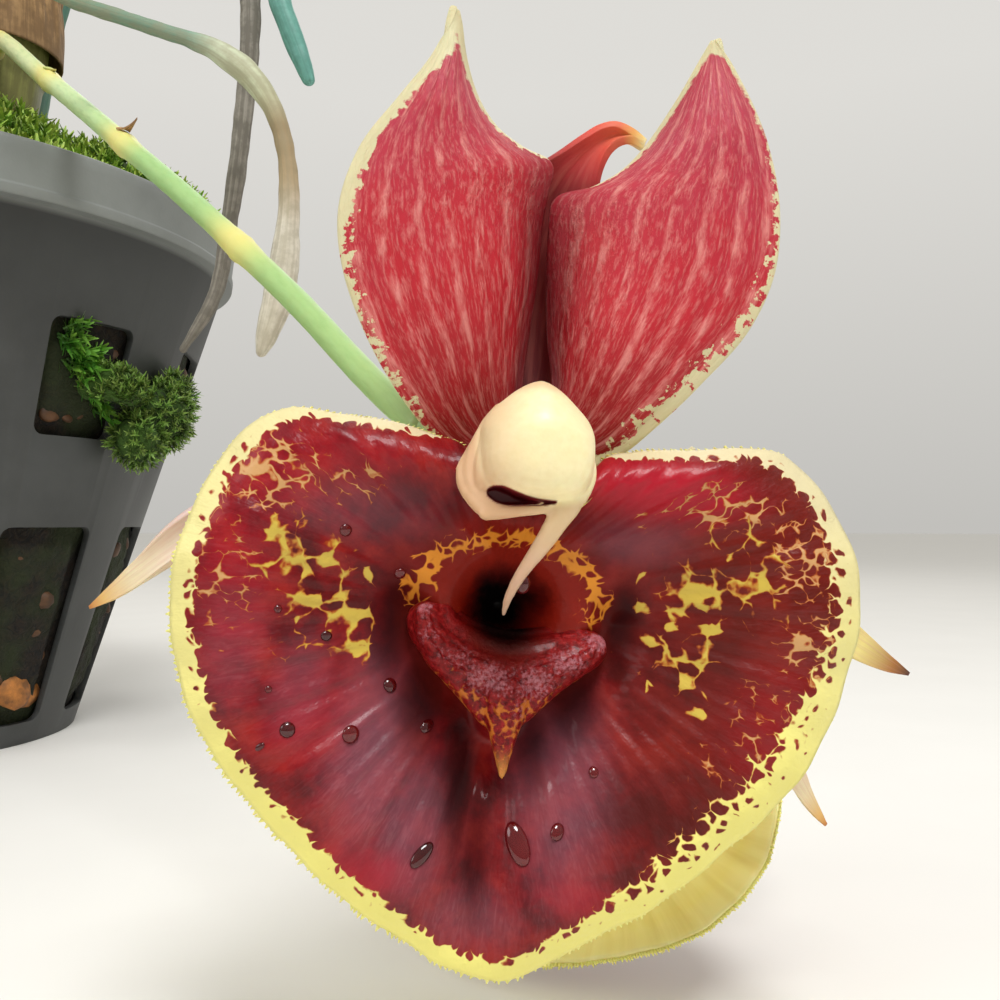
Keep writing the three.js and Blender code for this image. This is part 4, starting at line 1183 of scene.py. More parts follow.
    def tuft(self) -> tuple[Piece, Piece]:
        """Makes the clump beside the window: a fused core, and the shoots that cover it."""
        turn, level, size = self.tuft_angle, self.tuft_level, self.tuft_radius
        reach = float(self.basket.wall_radius(level)) + self.tuft_proud
        lobes = [(polar(reach + out, math.radians(turn + aside), level + up), size * share)
                 for aside, out, up, share in ((0, 0, 0, 0.72), (-7, 0.5, -7, 0.5), (4, 1, 6, 0.48))]
        a = math.radians(self.basket.first_column + 2.5)
        b = math.radians(self.basket.first_column + 9.5)
        inner = float(self.basket.wall_radius(91)) - self.basket.wall
        neck = rod("neck", [polar(inner + out, at, up) for out, at, up in
                            ((-6, a, 91), (5.2, a, 91), (8.8, b, 89))], 4.0)
        bodies = [ball(centre, (radius, radius, radius)) for centre, radius in lobes]
        core = fused("tuft_core", [*bodies, neck], 0.6, 6)
        self.keep_off_wall(core)
        dice = random.Random(self.seed + 1)
        places, tones = [], []
        points = positions(core)
        for _ in range(900):
            spot = points[dice.randrange(len(points))]
            own = min(lobes, key=lambda lobe: math.dist(spot, lobe[0]) - lobe[1])
            out = Vector(spot) - Vector(own[0])
            gap = math.hypot(spot[0], spot[1]) - float(self.basket.wall_radius(spot[2]))
            if gap > 1.2 and out.length > 1:
                base = Vector(spot) - out.normalized() * 0.8
                places.append(self.stand(base, out, dice.uniform(1.7, 2.6), dice))
                tones.append(dice.uniform(0.05, 0.6))
        return core, scattered("tuft_moss", self.shoot(), places, tones)

    def keep_off_wall(self, piece: Piece) -> None:
        """Pushes a piece's skin out of the basket's wall, except in the window."""
        spots = positions(piece)
        reach = np.hypot(spots[:, 0], spots[:, 1])
        turn = np.degrees(np.arctan2(spots[:, 1], spots[:, 0]))
        least = self.basket.wall_radius(spots[:, 2]) + 0.4
        outside = (turn > self.basket.first_column + 8.4) & (reach < least)
        share = np.where(outside, least / np.maximum(reach, 1), 1)
        spots[:, :2] *= share[:, None]
        reshape(piece, spots)

    def sprig(self) -> Piece:
        """Makes the bright leafy sprig that lies across the window, tip down to the right."""
        dice = random.Random(self.seed + 2)
        places, tones = [], []
        for leaf in range(95):
            share = leaf / 94
            angle = math.radians(self.basket.first_column - 6 + 10.5 * share + dice.gauss(0, 0.35))
            level = 101 - 14 * share + dice.gauss(0, 1.6)
            reach = float(self.basket.wall_radius(level)) - 2.2 + dice.uniform(-0.5, 1.6)
            aim = Vector((math.cos(angle) * 0.8 - math.sin(angle) * 0.8,
                          math.sin(angle) * 0.8 + math.cos(angle) * 0.8, 0.9 if leaf % 2 else -0.9))
            places.append(self.stand(Vector(polar(reach, angle, level)), aim, dice.uniform(3.0, 5.2), dice))
            tones.append(dice.uniform(0.5, 1.0))
        return scattered("window_sprig", self.shoot(), places, tones)

    def chips(self) -> Piece:
        """Wedges flat bits of bark and dead leaf behind the windows."""
        dice = random.Random(self.seed + 3)
        chip = primitive("ico_sphere", subdivisions=2, radius=MM)
        spots = positions(chip)
        reshape(chip, spots * (1, 0.75, 0.35) * (1 + 0.3 * grain(spots + 5, 0.9))[:, None])
        places, tones = [], []
        for column in range(self.basket.columns):
            start = self.basket.first_column + self.basket.step * column
            for window in self.basket.windows:
                spread = window.half_width - 3
                for _ in range(9):
                    angle = math.radians(start + dice.uniform(-spread, spread))
                    level = dice.uniform(window.low + 4, window.high - 4)
                    reach = float(self.basket.wall_radius(level)) - dice.uniform(2.4, 3.6)
                    out = Vector((math.cos(angle), math.sin(angle), dice.gauss(0, 0.3)))
                    base = Vector(polar(reach, angle, level))
                    places.append(self.stand(base, out, dice.uniform(1.6, 3.4), dice))
                    tones.append(dice.random())
        for turn, level, size in ((self.bark_turn, 17, 7.5), (self.bark_turn + 7, 13.5, 6)):
            angle = math.radians(turn)
            reach = float(self.basket.wall_radius(level)) - 4.2
            out = Vector((math.cos(angle), math.sin(angle), 0.2))
            places.append(self.stand(Vector(polar(reach, angle, level)), out, size, dice))
            tones.append(self.bark_tone)
        piece = scattered("bark_chips", chip, places, tones)
        mark(piece, "along", np.repeat(np.array(tones) / self.bark_tone, len(spots)))
        return piece

    def build(self) -> None:
        """Makes and dresses every part of the bed."""
        living = MossLeaf().make()
        dress(self.core(), "moss", ["moss_bed"], PlantingMix().make())
        dress(self.carpet(), "moss", [], living)
        core, moss = self.tuft()
        dress(core, "moss", ["moss_bed"],
              PlantingMix(peat_and_shade="#1a260e", fibre="#3c5c18", green="#3c5c18").make())
        dress(moss, "moss", [], MossLeaf("shaded_moss", "#34481a", "#5a842c", "#8cb450").make())
        dress(self.sprig(), "moss", ["moss_bed"],
              MossLeaf("sprig_leaf", "#2f5214", "#4a7c1e", "#7aa83a").make())
        dress(self.chips(), "moss", [],
              FibrousSkin("bark_chips", ((0, "#5a3a1c"), (0.6, "#6e4624"), (1, "#c07a34")), "#2c1c0e").make())


@dataclass
class Bulb:
    """One ringed, spindle-shaped pseudobulb with the spines of its leaf bases, and its sheath."""

    name: str
    foot: tuple[float, float]
    lean: tuple[float, float]
    height: float
    radius: float
    level: float = 158
    scars: int = 5
    sheath_wall: float = 0.45

    def axis(self, t: Array) -> Array:
        """Gives the bulb's middle line."""
        (x, y), (dx, dy) = self.foot, self.lean
        knots = [(x, y, self.level), (x + dx * 0.35, y + dy * 0.35, self.level + self.height * 0.4),
                 (x + dx, y + dy, self.level + self.height)]
        return even(knots, t)[0]

    def girth(self, t: Array) -> Array:
        """Gives the bulb's radius, with a low ring where each fallen leaf was joined."""
        shape = through([(0, 0.55), (0.06, 0.68), (0.16, 0.85), (0.32, 1), (0.52, 0.93), (0.7, 0.7),
                         (0.85, 0.46), (0.95, 0.32), (1, 0.2)])(t)
        ring = np.abs((t * self.scars + 0.5) % 1 - 0.5)
        return self.radius * shape + 0.7 * np.clip(1 - ring * 14, 0, 1) ** 0.7 * ramp(0.02, 0.1, t)

    def body(self) -> Piece:
        """Makes the bulb with shallow lengthwise furrows, and its spines."""
        t = np.r_[0, np.linspace(0, 1, 150), 1]
        angle = np.linspace(0, math.tau, 97)
        centre = self.axis(t)
        furrow = 1 - 0.03 * np.abs(np.sin(angle * 5 + self.height))[None] * bump(t, 0.45, 0.35)[:, None]
        reach = self.girth(t)[:, None] * furrow
        reach[[0, -1]] = 0
        rings = np.stack([centre[:, :1] + reach * np.cos(angle), centre[:, 1:2] + reach * np.sin(angle),
                          np.repeat(centre[:, 2:], len(angle), 1)], -1)
        parts = [skin("bulb", rings, True, {"along": np.repeat(t[:, None], len(angle), 1)})]
        root, top = self.axis(np.array([0.9, 1.0]))
        for spine in range(4):
            turn = math.radians(spine * 93) + self.height
            lean = np.array([math.cos(turn), math.sin(turn), 0]) * 3.4
            tip = top + lean * 1.7 + (0, 0, 4 + spine * 1.5)
            middle = (root + lean * 0.6 + tip) / 2 + lean * 0.25
            parts.append(rod("spine", [root + lean * 0.6, middle, tip], lambda s: 1.6 - 1.3 * s, 12, 0.7))
        return joined(f"bulb_{self.name}", parts)

    def sheath(self) -> Piece:
        """Makes the dry sheath round the bulb's middle: thin, creased, torn along its top."""
        angle = np.linspace(0, math.tau, 193)
        share = np.linspace(0, 1, 60)[:, None]
        torn = 0.05 * np.sin(angle * 2 + self.height) + 0.03 * np.sin(angle * 5)
        shred = 0.018 * np.abs(np.sin(angle * 23 + 2 * np.sin(angle * 7))) ** 3 + 0.01 * np.sin(angle * 61)
        along = 0.24 + (0.36 + torn + shred) * share
        flare = 2.4 * np.clip(1 - share * 2.5, 0, 1) + 1.2 * ramp(0.75, 1, share)
        crease = 0.35 * np.sin(angle * 17 + 3 * share) + 0.25 * np.sin(angle * 31 - 2 * share)
        reach = self.girth(along.ravel()).reshape(along.shape) + 1.55 + flare + crease * ramp(0, 0.3, share)
        centre = self.axis(along.ravel()).reshape(*along.shape, 3)
        rings = centre + np.stack([reach * np.cos(angle), reach * np.sin(angle), 0 * reach], -1)
        piece = skin(f"dry_sheath_{self.name}", rings, False, {"along": share + 0 * angle})
        weld(piece, outward=False)
        return modified(piece, "SOLIDIFY", thickness=self.sheath_wall * MM, offset=0)

    def build(self) -> None:
        """Makes and dresses the bulb and its sheath."""
        green = FibrousSkin("pseudobulb_skin", ((0, "#6d6a34"), (0.35, "#8c8f4c"), (0.75, "#9aa058"),
                                                (0.95, "#a58a58"), (1, "#8a6a40")),
                            "#5e5a2c", 0.3, 60.0, 0.5, 0.35)
        dry = FibrousSkin("dry_papery_sheath", ((0, "#8d6f4a"), (0.5, "#ae8a5c"), (1, "#bf9d70")),
                          "#6d5232", 0.4, 120.0, 0.8, 0.6)
        dress(self.body(), "bulb", [f"pseudobulb_{self.name}"], green.make())
        dress(self.sheath(), "sheath", [f"sheath_{self.name}"], dry.make())


class RootFinish(Enum):
    """The three kinds of aerial root, by how old and how wet they are."""

    GREY = "root_grey"
    PALE = "root_pale"
    TEAL = "root_teal"


@dataclass
class AerialRoot:
    """One stiff aerial root that arches out of the moss, over the rim and down."""

    number: int
    finish: RootFinish
    radius: Line
    path: Path

    def build(self) -> Piece:
        """Makes and dresses the root."""
        looks = {
            RootFinish.GREY: FibrousSkin("dead_root_skin", ((0, "#7e7768"), (0.6, "#9b968c"), (1, "#8b857a")),
                                         "#5f5a50", 0.4, 16.0, 0.8, 0.5),
            RootFinish.PALE: FibrousSkin("velamen_root_skin", (
                (0, "#6f6b4a"), (0.56, "#7d7a52"), (0.66, "#6c8a72"), (0.73, "#6f9480"), (0.755, "#c5cdb0"),
                (0.8, "#c0c4a2"), (0.83, "#9c8662"), (0.87, "#b09a78"), (0.905, "#ddd6c6"), (1, "#d6cfbc")),
                "#8f8468", 0.25, 14.0, 0.7, 0.4),
            RootFinish.TEAL: FibrousSkin("wet_root_skin", ((0, "#5d7a62"), (0.6, "#5f978a"), (1, "#6aa698")),
                                         "#3f6e64", 0.25, 12.0, 0.5, 0.3),
        }
        piece = rod(f"root_{self.number}", self.path, through(self.radius), 24, 0.9, 1.0, 0.22)
        return dress(piece, self.finish.value, [f"aerial_root_{self.number}"], looks[self.finish].make())


@dataclass
class FlowerStem:
    """Arching stalk with swollen joints, dry bracts and a short stalk to each bloom."""

    stalk: Path
    front: Path
    rear: Path
    joints: tuple[float, ...] = (0.05, 0.266, 0.501, 0.747)
    bract_wall: float = 0.35

    def girth(self, t: Array) -> Array:
        """Gives the stalk's radius, swollen at each joint."""
        swell = sum(bump(t, joint, 0.022) for joint in self.joints)
        step = sum(0.14 * bump(t, joint + 0.004, 0.004) for joint in self.joints)
        return 2.2 - 0.45 * t + 0.3 * swell + step

    def bract(self, joint: float, length: float, spread: float) -> Piece:
        """Makes one dry bract: a pointed scale that clasps the stalk and stands off at its tip."""
        root, ahead = even(self.stalk, np.array([joint, joint + 0.04]))[0]
        forward = (ahead - root) / np.linalg.norm(ahead - root)
        out = np.array([0.35, -0.4, 0.85])
        out -= forward * np.dot(out, forward)
        out /= np.linalg.norm(out)
        across = np.cross(forward, out)
        t = np.linspace(0, 1, 40)[:, None]
        wrap = np.linspace(-1, 1, 25)[None] * (0.5 * (1 - t) ** 0.8 + 0.05)
        girth = float(self.girth(np.array(joint))) + 0.25
        lift = spread * t ** 1.8
        reach = girth * (1 - 0.75 * t) + 0.05
        rings = (root + forward * (t * length)[..., None] * 1.0
                 + out * ((np.cos(wrap) * reach + girth * 0.75 * t * 0.9 + lift)[..., None])
                 + across * (np.sin(wrap) * reach)[..., None])
        piece = skin("bract", rings, False, {"along": t + 0 * wrap})
        return modified(piece, "SOLIDIFY", thickness=self.bract_wall * MM, offset=0)

    def build(self) -> None:
        """Makes and dresses the stalk with its branches, and the bracts."""
        main = rod("stalk", self.stalk, self.girth, 32, 0.6, 1.0, 0.05)
        parts = [main]
        for path in (self.front, self.rear):
            branch = rod("branch", path, lambda t: 1.6 + 0.6 * ramp(0, 1, t), 20, 0.6)
            mark(branch, "along", np.full(len(branch.data.vertices), 0.97))
            parts.append(branch)
        for part in parts:
            layer = np.empty(len(part.data.vertices))
            part.data.attributes["along"].data.foreach_get("value", layer)
            knot = sum(bump(layer, joint, 0.034) for joint in self.joints) if part is main else layer * 0
            mark(part, "knot", np.clip(knot * 0.9, 0, 1))
        dress(joined("stem", parts), "stem", ["flower_stem"], GreenStalk().make())
        dry = FibrousSkin("dry_bract", ((0, "#c8a26c"), (0.5, "#ae8458"), (1, "#8e6844")), "#7a5838",
                          0.25, 20.0, 0.6, 0.3)
        fresh = FibrousSkin("young_bract", ((0, "#c2cf7c"), (0.6, "#ddcf78"), (1, "#d6b468")), "#a8b868",
                            0.2, 16.0, 0.5, 0.2)
        for name, joint, length, spread, look in (("low", 0.258, 5, 0.8, fresh), ("high", 0.49, 6, 3.6, dry)):
            bract = dress(self.bract(joint, length, spread), "stem", ["flower_stem"], look.make())
            bract.name = f"bract_{name}"


Patch = tuple[float, float, float, float, float]


def patches(x: Array, y: Array, spots: Sequence[Patch]) -> Array:
    """Adds up soft patches: each is centre x and y, half width, half height and strength."""
    total = np.zeros_like(x)
    for cx, cy, rx, ry, strength in spots:
        total = np.maximum(total, strength * np.exp(-(((x - cx) / rx) ** 2 + ((y - cy) / ry) ** 2) ** 1.5))
    return np.clip(total, 0, 1)


@dataclass
class Lip:
    """The broad heart-shaped lip: a dish round a deep sac, with a fringed margin and a callus."""

    place: Matrix
    name: str
    around: int = 420
    rows: int = 54
    sac: tuple[float, float] = (-1, -16.2)
    notch: Line = ((0, -4.05), (3.2, -3.9), (5.4, -2.2), (7, 0))
    left: Line = (
        (10, 0.9), (19.3, 2), (24.5, 2.1), (28.9, -0.9), (32.3, -8.6), (33.4, -17.2), (31.4, -25.5),
        (26.5, -33.2), (18.7, -40.8), (9.9, -47.2), (4.2, -50), (0, -50.9))
    right: Line = (
        (10.2, 1.1), (16.2, 1.8), (21.3, 2.5), (26.2, 2.1), (32.3, -4.3), (34, -13.5), (32.1, -24),
        (27.7, -31.8), (18.7, -40.6), (9.2, -47), (4, -50), (0, -50.9))
    net: tuple[Patch, ...] = ((-20, -14.5, 7, 7.5, 0.5), (-16.2, -18.5, 3.6, 5, 0.55),
        (-24.5, -11.5, 2.4, 6, 0.56), (-22.5, -19.5, 4, 3, 0.45), (17.5, -12.5, 7, 5, 0.55),
        (17.5, -19.5, 5.5, 5.5, 0.52), (23.5, -12, 4, 6, 0.52), (21, -7, 5.5, 3, 0.54),
        (-24.5, -12.6, 0.8, 2.0, 0.72), (-20.4, -16.2, 1.3, 1.0, 0.9), (-16.9, -10.9, 1.1, 0.8, 0.8),
        (-15.2, -13.4, 1.2, 0.9, 0.86), (-19.2, -12.2, 0.9, 1.1, 0.82), (-15.9, -17.4, 1.6, 0.9, 0.9),
        (-15.7, -21, 1.1, 0.8, 0.84), (-21.8, -18.2, 0.9, 0.7, 0.78), (-18.4, -19.4, 0.8, 0.7, 0.75),
        (17.6, -12.6, 1.7, 1.6, 0.95), (12.4, -11.6, 0.8, 1.1, 0.8), (12.9, -14.6, 1.0, 0.8, 0.8),
        (20.6, -9, 1.6, 0.8, 0.84), (23.5, -11, 0.8, 1.8, 0.84), (18.4, -14, 1.7, 0.7, 0.88),
        (13.6, -18.2, 0.9, 1.1, 0.84), (19.3, -16.1, 1.5, 0.9, 0.86), (22.6, -7.6, 1.1, 0.8, 0.8),
        (17, -21.4, 0.9, 1.3, 0.88), (17.9, -24.4, 1.4, 0.6, 0.84), (15.5, -16.4, 0.8, 0.7, 0.76),
        (13.8, -22.6, 0.7, 1.0, 0.76))
    pale_net: tuple[Patch, ...] = ((-24.5, -4, 7, 6.5, 0.55), (-17, -4, 4.5, 3.5, 0.48),
        (20, -4, 8, 3.4, 0.55), (27, -8, 5, 7, 0.55), (-28, -14, 4, 9, 0.5), (28, -17, 4.5, 7, 0.52),
        (24, -24, 5, 5, 0.42), (12, -6, 3.5, 2, 0.42), (20, -29, 6, 4, 0.36))
    # Where the painted purplish sheen lies, on the lower lobes.
    painted_sheen: tuple[Patch, ...] = ((-13.5, -30, 4.5, 9, 0.62), (-9, -37, 4, 7, 0.55),
        (5.5, -33, 4.6, 10, 0.55), (11, -7.8, 5, 2.6, 0.45), (-20.5, -24.5, 3, 5, 0.4),
        (-16, -7, 8, 3, 0.35), (-3, -45, 5, 3, 0.4), (-27, -21, 3, 6, 0.3))
    # Crimson patches: the first is a painted highlight at the upper right, the others are redder flesh.
    crimson: tuple[Patch, ...] = ((12.5, -2.6, 9, 3.4, 0.9), (-20, -27, 4.5, 4.5, 0.3),
        (-13.5, -41, 5, 2.6, 0.5), (8, -42.5, 4, 1.8, 0.35), (-28, -15, 4, 10, 0.35), (-26, -3, 6, 6, 0.3),
        (26, -26, 6, 8, 0.25), (-18, -2, 8, 2.5, 0.3))
    shade: tuple[Patch, ...] = ((-12, -17.5, 2.6, 6.5, 0.9), (-9.2, -25, 2.6, 5, 0.85),
        (10.9, -16.5, 2.2, 5, 0.9), (6.6, -24.6, 2.8, 4, 0.8), (-4.6, -32.5, 1.6, 8, 0.8),
        (-2.6, -40, 1.5, 6, 0.6), (2.6, -29.5, 1.8, 4.5, 0.6), (0, -6, 10, 2, 0.45), (-1, -11.4, 8, 3, 0.4),
        (-8.5, -13, 2.6, 3.6, 0.5), (6.6, -13, 2.6, 3.6, 0.45), (15, -35, 6, 6, 0.3), (16, -20, 7, 7, 0.25))
    # Where the callus warts take a painted sheen, on the crests of its arms and front.
    crests: tuple[Patch, ...] = ((-9.6, -15.8, 1.3, 1.5, 0.9), (-9, -18.8, 1.4, 1.8, 0.55),
        (8.6, -18.2, 2.2, 1.7, 0.9), (5, -20.6, 2.6, 1.6, 0.75), (1.9, -22.6, 2.4, 2, 0.8),
        (-2.6, -22.4, 3.2, 2, 0.75), (-6, -20.6, 2.6, 1.5, 0.6), (0.6, -25.2, 1.2, 2, 0.5))
    shield: Line = ((-7.6, -15), (-7.3, -17.8), (-6.2, -19.4), (-3.8, -21.4), (-2.0, -23.2), (-1.3, -25),
        (-0.8, -27), (-0.3, -25), (0.3, -22.8), (2.2, -20.9), (5.4, -18.8), (6.6, -16.8), (6.2, -13),
        (3.6, -11.2), (-2, -10.6), (-6.6, -12))

    def beyond_shield(self, x: Array, y: Array) -> Array:
        """Gives the distance in mm outside the raised shield round the sac's mouth."""
        corners = np.array(self.shield)
        spot = np.stack([x, y], -1)[..., None, :]
        run = np.roll(corners, -1, 0) - corners
        t = np.clip(((spot - corners) * run).sum(-1) / (run ** 2).sum(-1), 0, 1)
        away = np.linalg.norm(spot - corners - run * t[..., None], axis=-1).min(-1)
        side = run[:, 0] * (spot[..., 1] - corners[:, 1]) - run[:, 1] * (spot[..., 0] - corners[:, 0])
        crossing = (corners[:, 1] <= spot[..., 1]) != (np.roll(corners, -1, 0)[:, 1] <= spot[..., 1])
        winding = np.where(crossing, np.where((run[:, 1] > 0) == (side > 0), 1, 0), 0).sum(-1)
        return np.where(winding % 2 == 1, 0.0, away)

    def reach(self, angle: Array) -> Array:
        """Gives the distance from the sac's axis to the margin."""
        outline = [(-x, y) for x, y in (*self.notch, *self.left)]
        outline += [*self.notch[1:], *self.right[:-1]]
        spots = sorted((math.atan2(y - self.sac[1], x - self.sac[0]),
                        math.hypot(x - self.sac[0], y - self.sac[1])) for x, y in outline)
        ring = [(turn + spot, away) for turn in (-math.tau, 0, math.tau) for spot, away in spots]
        return through(ring)(np.arctan2(np.sin(angle), np.cos(angle)))

    def surface(self, share: Array, angle: Array) -> Array:
        """Gives the inner face of the lip in the bloom's own frame."""
        reach = share * self.reach(angle)
        x = self.sac[0] + reach * np.cos(angle)
        y = self.sac[1] + reach * np.sin(angle)
        mouth = through([(0, -16.4), (1.2, -16), (2.4, -13.8), (3.6, -10.2), (5, -7.4), (7, -6),
            (9.5, -5.4)])(reach)
        bowl = through([(0, -5.6), (0.3, -5.5), (0.42, -5), (0.6, -2.2), (0.78, 0.1), (0.9, 0.2),
            (1, -1.4)])(share)
        bowl = lerp(mouth, bowl, ramp(4.5, 9, reach))
        beyond = self.beyond_shield(x, y)
        trough = -2.6 * ramp(0, 3.2, beyond) * ramp(8.5, 2.6, beyond) * ramp(-12, -17, y)
        shoulders = -2.6 * ramp(-14, 2, y) * share ** 3
        valley = -2.0 * bump(x, -3.2, 3.4) * ramp(-27, -35, y) * ramp(1.0, 0.86, share)
        ruffle = (0.35 * np.sin(angle * 11) + 0.22 * np.sin(angle * 29 + 1)) * share ** 6
        folds = np.sin(angle * 34 + 2 * np.sin(angle * 5) + 3 * share) + 0.8 * np.sin(angle * 71 + 9 * share)
        ribs = 0.11 * folds * ramp(0.35, 0.6, share) * ramp(1, 0.8, share)
        return np.stack([x, y, bowl + trough + shoulders + valley + ruffle + ribs], -1)

    def at(self, x: float, y: float) -> tuple[Array, Array]:
        """Gives the face's point over a place, and its normal, in the bloom's own frame."""
        angle = np.array(math.atan2(y - self.sac[1], x - self.sac[0]))
        share = math.hypot(x - self.sac[0], y - self.sac[1]) / self.reach(angle)
        point = self.surface(share, angle)
        a = self.surface(share + 0.01, angle) - point
        b = self.surface(share, angle + 0.01) - point
        normal = np.cross(a, b)
        return point, normal / np.linalg.norm(normal)

    def edge_marks(self, share: Array, angle: Array) -> Array:
        """Gives how far inside the yellow margin's inner edge each point is, how ragged and how pale."""
        turn = np.degrees(angle) % 360
        width = through([(0, 1.5), (20, 1.4), (35, 1.2), (50, 0.9), (60, 0.6), (66, -0.6), (114, -0.6),
            (121, 0.5), (128, 0.8), (140, 0.9), (155, 1.1), (180, 1.4), (205, 1.7), (230, 2.0), (250, 2.1),
            (270, 1.8), (290, 2.0), (305, 2.0), (325, 1.8), (345, 1.6), (360, 1.5)])(turn)
        ragged = through([(0, 3.6), (35, 2.2), (60, 0.6), (68, 0.25), (113, 0.25), (122, 0.8), (150, 1.7),
            (200, 1.7), (240, 1.5), (270, 1.4), (300, 2.8), (330, 4.6), (360, 3.6)])(turn)
        pale = through([(0, 0.35), (25, 0.9), (60, 1), (120, 1), (150, 0.7), (185, 0.35), (220, 0.05),
            (300, 0), (335, 0.05), (360, 0.35)])(turn)
        inside = (1 - share) * self.reach(angle) - width * 0.62
        return np.stack([inside, ragged, np.clip(pale, 0, 1)], -1)

    def dish(self) -> Piece:
        """Lays the dish over its surface and gives it its thickness, yellow behind."""
        share = np.r_[0, np.linspace(0.02, 0.3, self.rows // 4), np.linspace(0.32, 1, self.rows)][:, None]
        angle = np.linspace(0, math.tau, self.around + 1)[None]
        share, angle = np.broadcast_arrays(share, angle)
        local = self.surface(share, angle)
        x, y = local[..., 0], local[..., 1]
        glow = np.exp(-((np.hypot(x + 1.2, (y + 15.2) * 1.45) - 9.4) / 1.9) ** 2)
        marks = {
            "flat": np.stack([x, y, share], -1),
            "ray": np.stack([28 * np.cos(angle), 28 * np.sin(angle), share * self.reach(angle)], -1),
            "zones": np.stack([patches(x, y, self.net), patches(x, y, self.pale_net),
                               glow * ramp(-20, -15, y) * 0.78], -1),
            "tints": np.stack([patches(x, y, self.painted_sheen), patches(x, y, self.crimson),
                               patches(x, y, self.shade)], -1),
            "edge": self.edge_marks(share, angle),
        }
        piece = skin("dish", to_world(self.place, local), False, marks)
        weld(piece, outward=False)
        with edit_mode(piece):
            bpy.ops.mesh.flip_normals()
        for _ in ("face", "back"):
            piece.data.materials.append(None)
        return modified(piece, "SOLIDIFY", thickness=1.1 * MM * self.place.median_scale, offset=-1,
                        material_offset=1, material_offset_rim=1)

    def fringe(self) -> Piece:
        """Sets fine fleshy hairs along the margin, longest on its lower left side."""
        dice = random.Random(11)
        hair = primitive("cone", vertices=6, radius1=0.42 * MM, radius2=0.05 * MM, depth=MM,
                         location=(0, 0, 0.3 * MM))
        places, tones = [], []
        turn = 0.0
        length = through([(0, 0.35), (60, 0.12), (110, 0.12), (150, 0.3), (185, 0.65), (230, 0.85),
            (290, 0.7), (330, 0.4), (360, 0.35)])
        while turn < 360:
            angle = math.radians(turn)
            point = self.surface(np.array(0.995), np.array(angle)) + (0, 0, -0.45)
            aim = Vector((math.cos(angle + dice.gauss(0, 0.25)), math.sin(angle + dice.gauss(0, 0.25)),
                dice.gauss(0, 0.2)))
            size = float(length(np.array(turn))) * dice.uniform(0.6, 1.25)
            local = (Matrix.Translation(Vector(point)) @ aim.to_track_quat("Z", "Y").to_matrix().to_4x4()
                     @ Matrix.Diagonal((1, 1, size, 1)))
            places.append(self.place @ local)
            tones.append(dice.random())
            turn += dice.uniform(0.6, 1.2)
        return scattered("fringe", hair, places, tones)

    def callus(self) -> Piece:
        """Makes the warty shield round the lower side of the sac's mouth, with its tooth."""
        ridge = [(-9.4, -15.8, -5.6), (-8.6, -18.8, -4.9), (-5.4, -21, -4.5), (-0.9, -22.2, -4.3),
                 (4.0, -21.2, -4.5), (7.4, -19.6, -4.9), (8.6, -17.8, -5.6)]
        tooth = [(-0.8, -21.8, -4.8), (-0.8, -25.6, -3.2), (-0.85, -28.9, -1.8), (-0.8, -31.9, -0.8)]
        webs = ([(-8.6, -18.8, -6), (-5, -22.9, -5), (-1.6, -27.2, -3.4)],
                [(7.4, -18.9, -6), (3.8, -22.2, -5), (0, -26.8, -3.4)])
        parts = [rod("ridge", ridge, lambda t: 1.25 + 0.55 * np.sin(math.pi * t), 20, 0.5),
                 rod("tooth", tooth, lambda t: 3.3 * (1 - t) ** 1.2 + 0.35, 20, 0.4)]
        parts += [rod("web", path, lambda t: 2.6 - 1.5 * t, 16, 0.5) for path in webs]
        for inward, drop, girth in ((1.4, 1.5, 1.5), (2.4, 3.6, 1.3)):
            slope = []
            for x, y, z in ridge:
                away = math.hypot(x + 1, y + 15.5)
                slope.append((x + inward * (-1 - x) / away, y - inward * (y + 15.5) / away, z - drop))
            parts.append(rod("slope", slope, lambda t, girth=girth: girth + 0.5 * np.sin(math.pi * t),
                             16, 0.5))
        parts.append(rod("bank", [(x, y, z - 2) for x, y, z in ridge], 2.2, 16, 0.8))
        smooth = fused("smooth", parts, 0.35, 4)
        tree = faces_near(smooth)
        dice = random.Random(5)
        warts = []
        for _ in range(460):
            t = 0.5 + 0.5 * math.copysign(dice.random() ** 0.7, dice.uniform(-1, 1))
            centre = even(ridge, np.array([t]))[0][0]
            reach = dice.uniform(-2.6, 3.4 if 0.2 < t < 0.8 else 1.8)
            spot, normal = tree.find_nearest(Vector((centre[0], centre[1] - reach, centre[2] + 6)) * MM)[:2]
            size = dice.uniform(0.14, 0.3)
            warts.append(ball(spot / MM + normal * size * 0.45, (size, size, size * 1.2), 8))
        body = fused("callus", [smooth, *warts], 0.15, 1)
        spots = positions(body)
        middle = even(ridge, np.linspace(0, 1, 60))[0][:, :2]
        low = middle[np.linalg.norm(spots[:, None, :2] - middle, axis=-1).argmin(1)]
        below = (low[:, 1] - spots[:, 1]) + 0.4 * (np.abs(spots[:, 0]) - np.abs(low[:, 0]))
        outer = np.clip((below - 0.4) / 2.4, 0, 1)
        reach = np.hypot(spots[:, 0] - self.sac[0], spots[:, 1] - self.sac[1])
        angle = np.arctan2(spots[:, 1] - self.sac[1], spots[:, 0] - self.sac[0])
        face = self.surface(reach / self.reach(angle), angle)[:, 2]
        spots[:, 2] = np.maximum(spots[:, 2], face - 0.5)
        mark(body, "local", spots)
        # How far into the sac's mouth each point is, for the painted shade there.
        mark(body, "deep", ramp(6.2, 2.4, reach))
        crest = patches(spots[:, 0], spots[:, 1], self.crests) * ramp(-7, -4.6, spots[:, 2])
        mark(body, "parts", np.stack([crest, outer, 0.6 * ramp(-28.5, -31.8, spots[:, 1])], -1))
        reshape(body, to_world(self.place, spots))
        return body

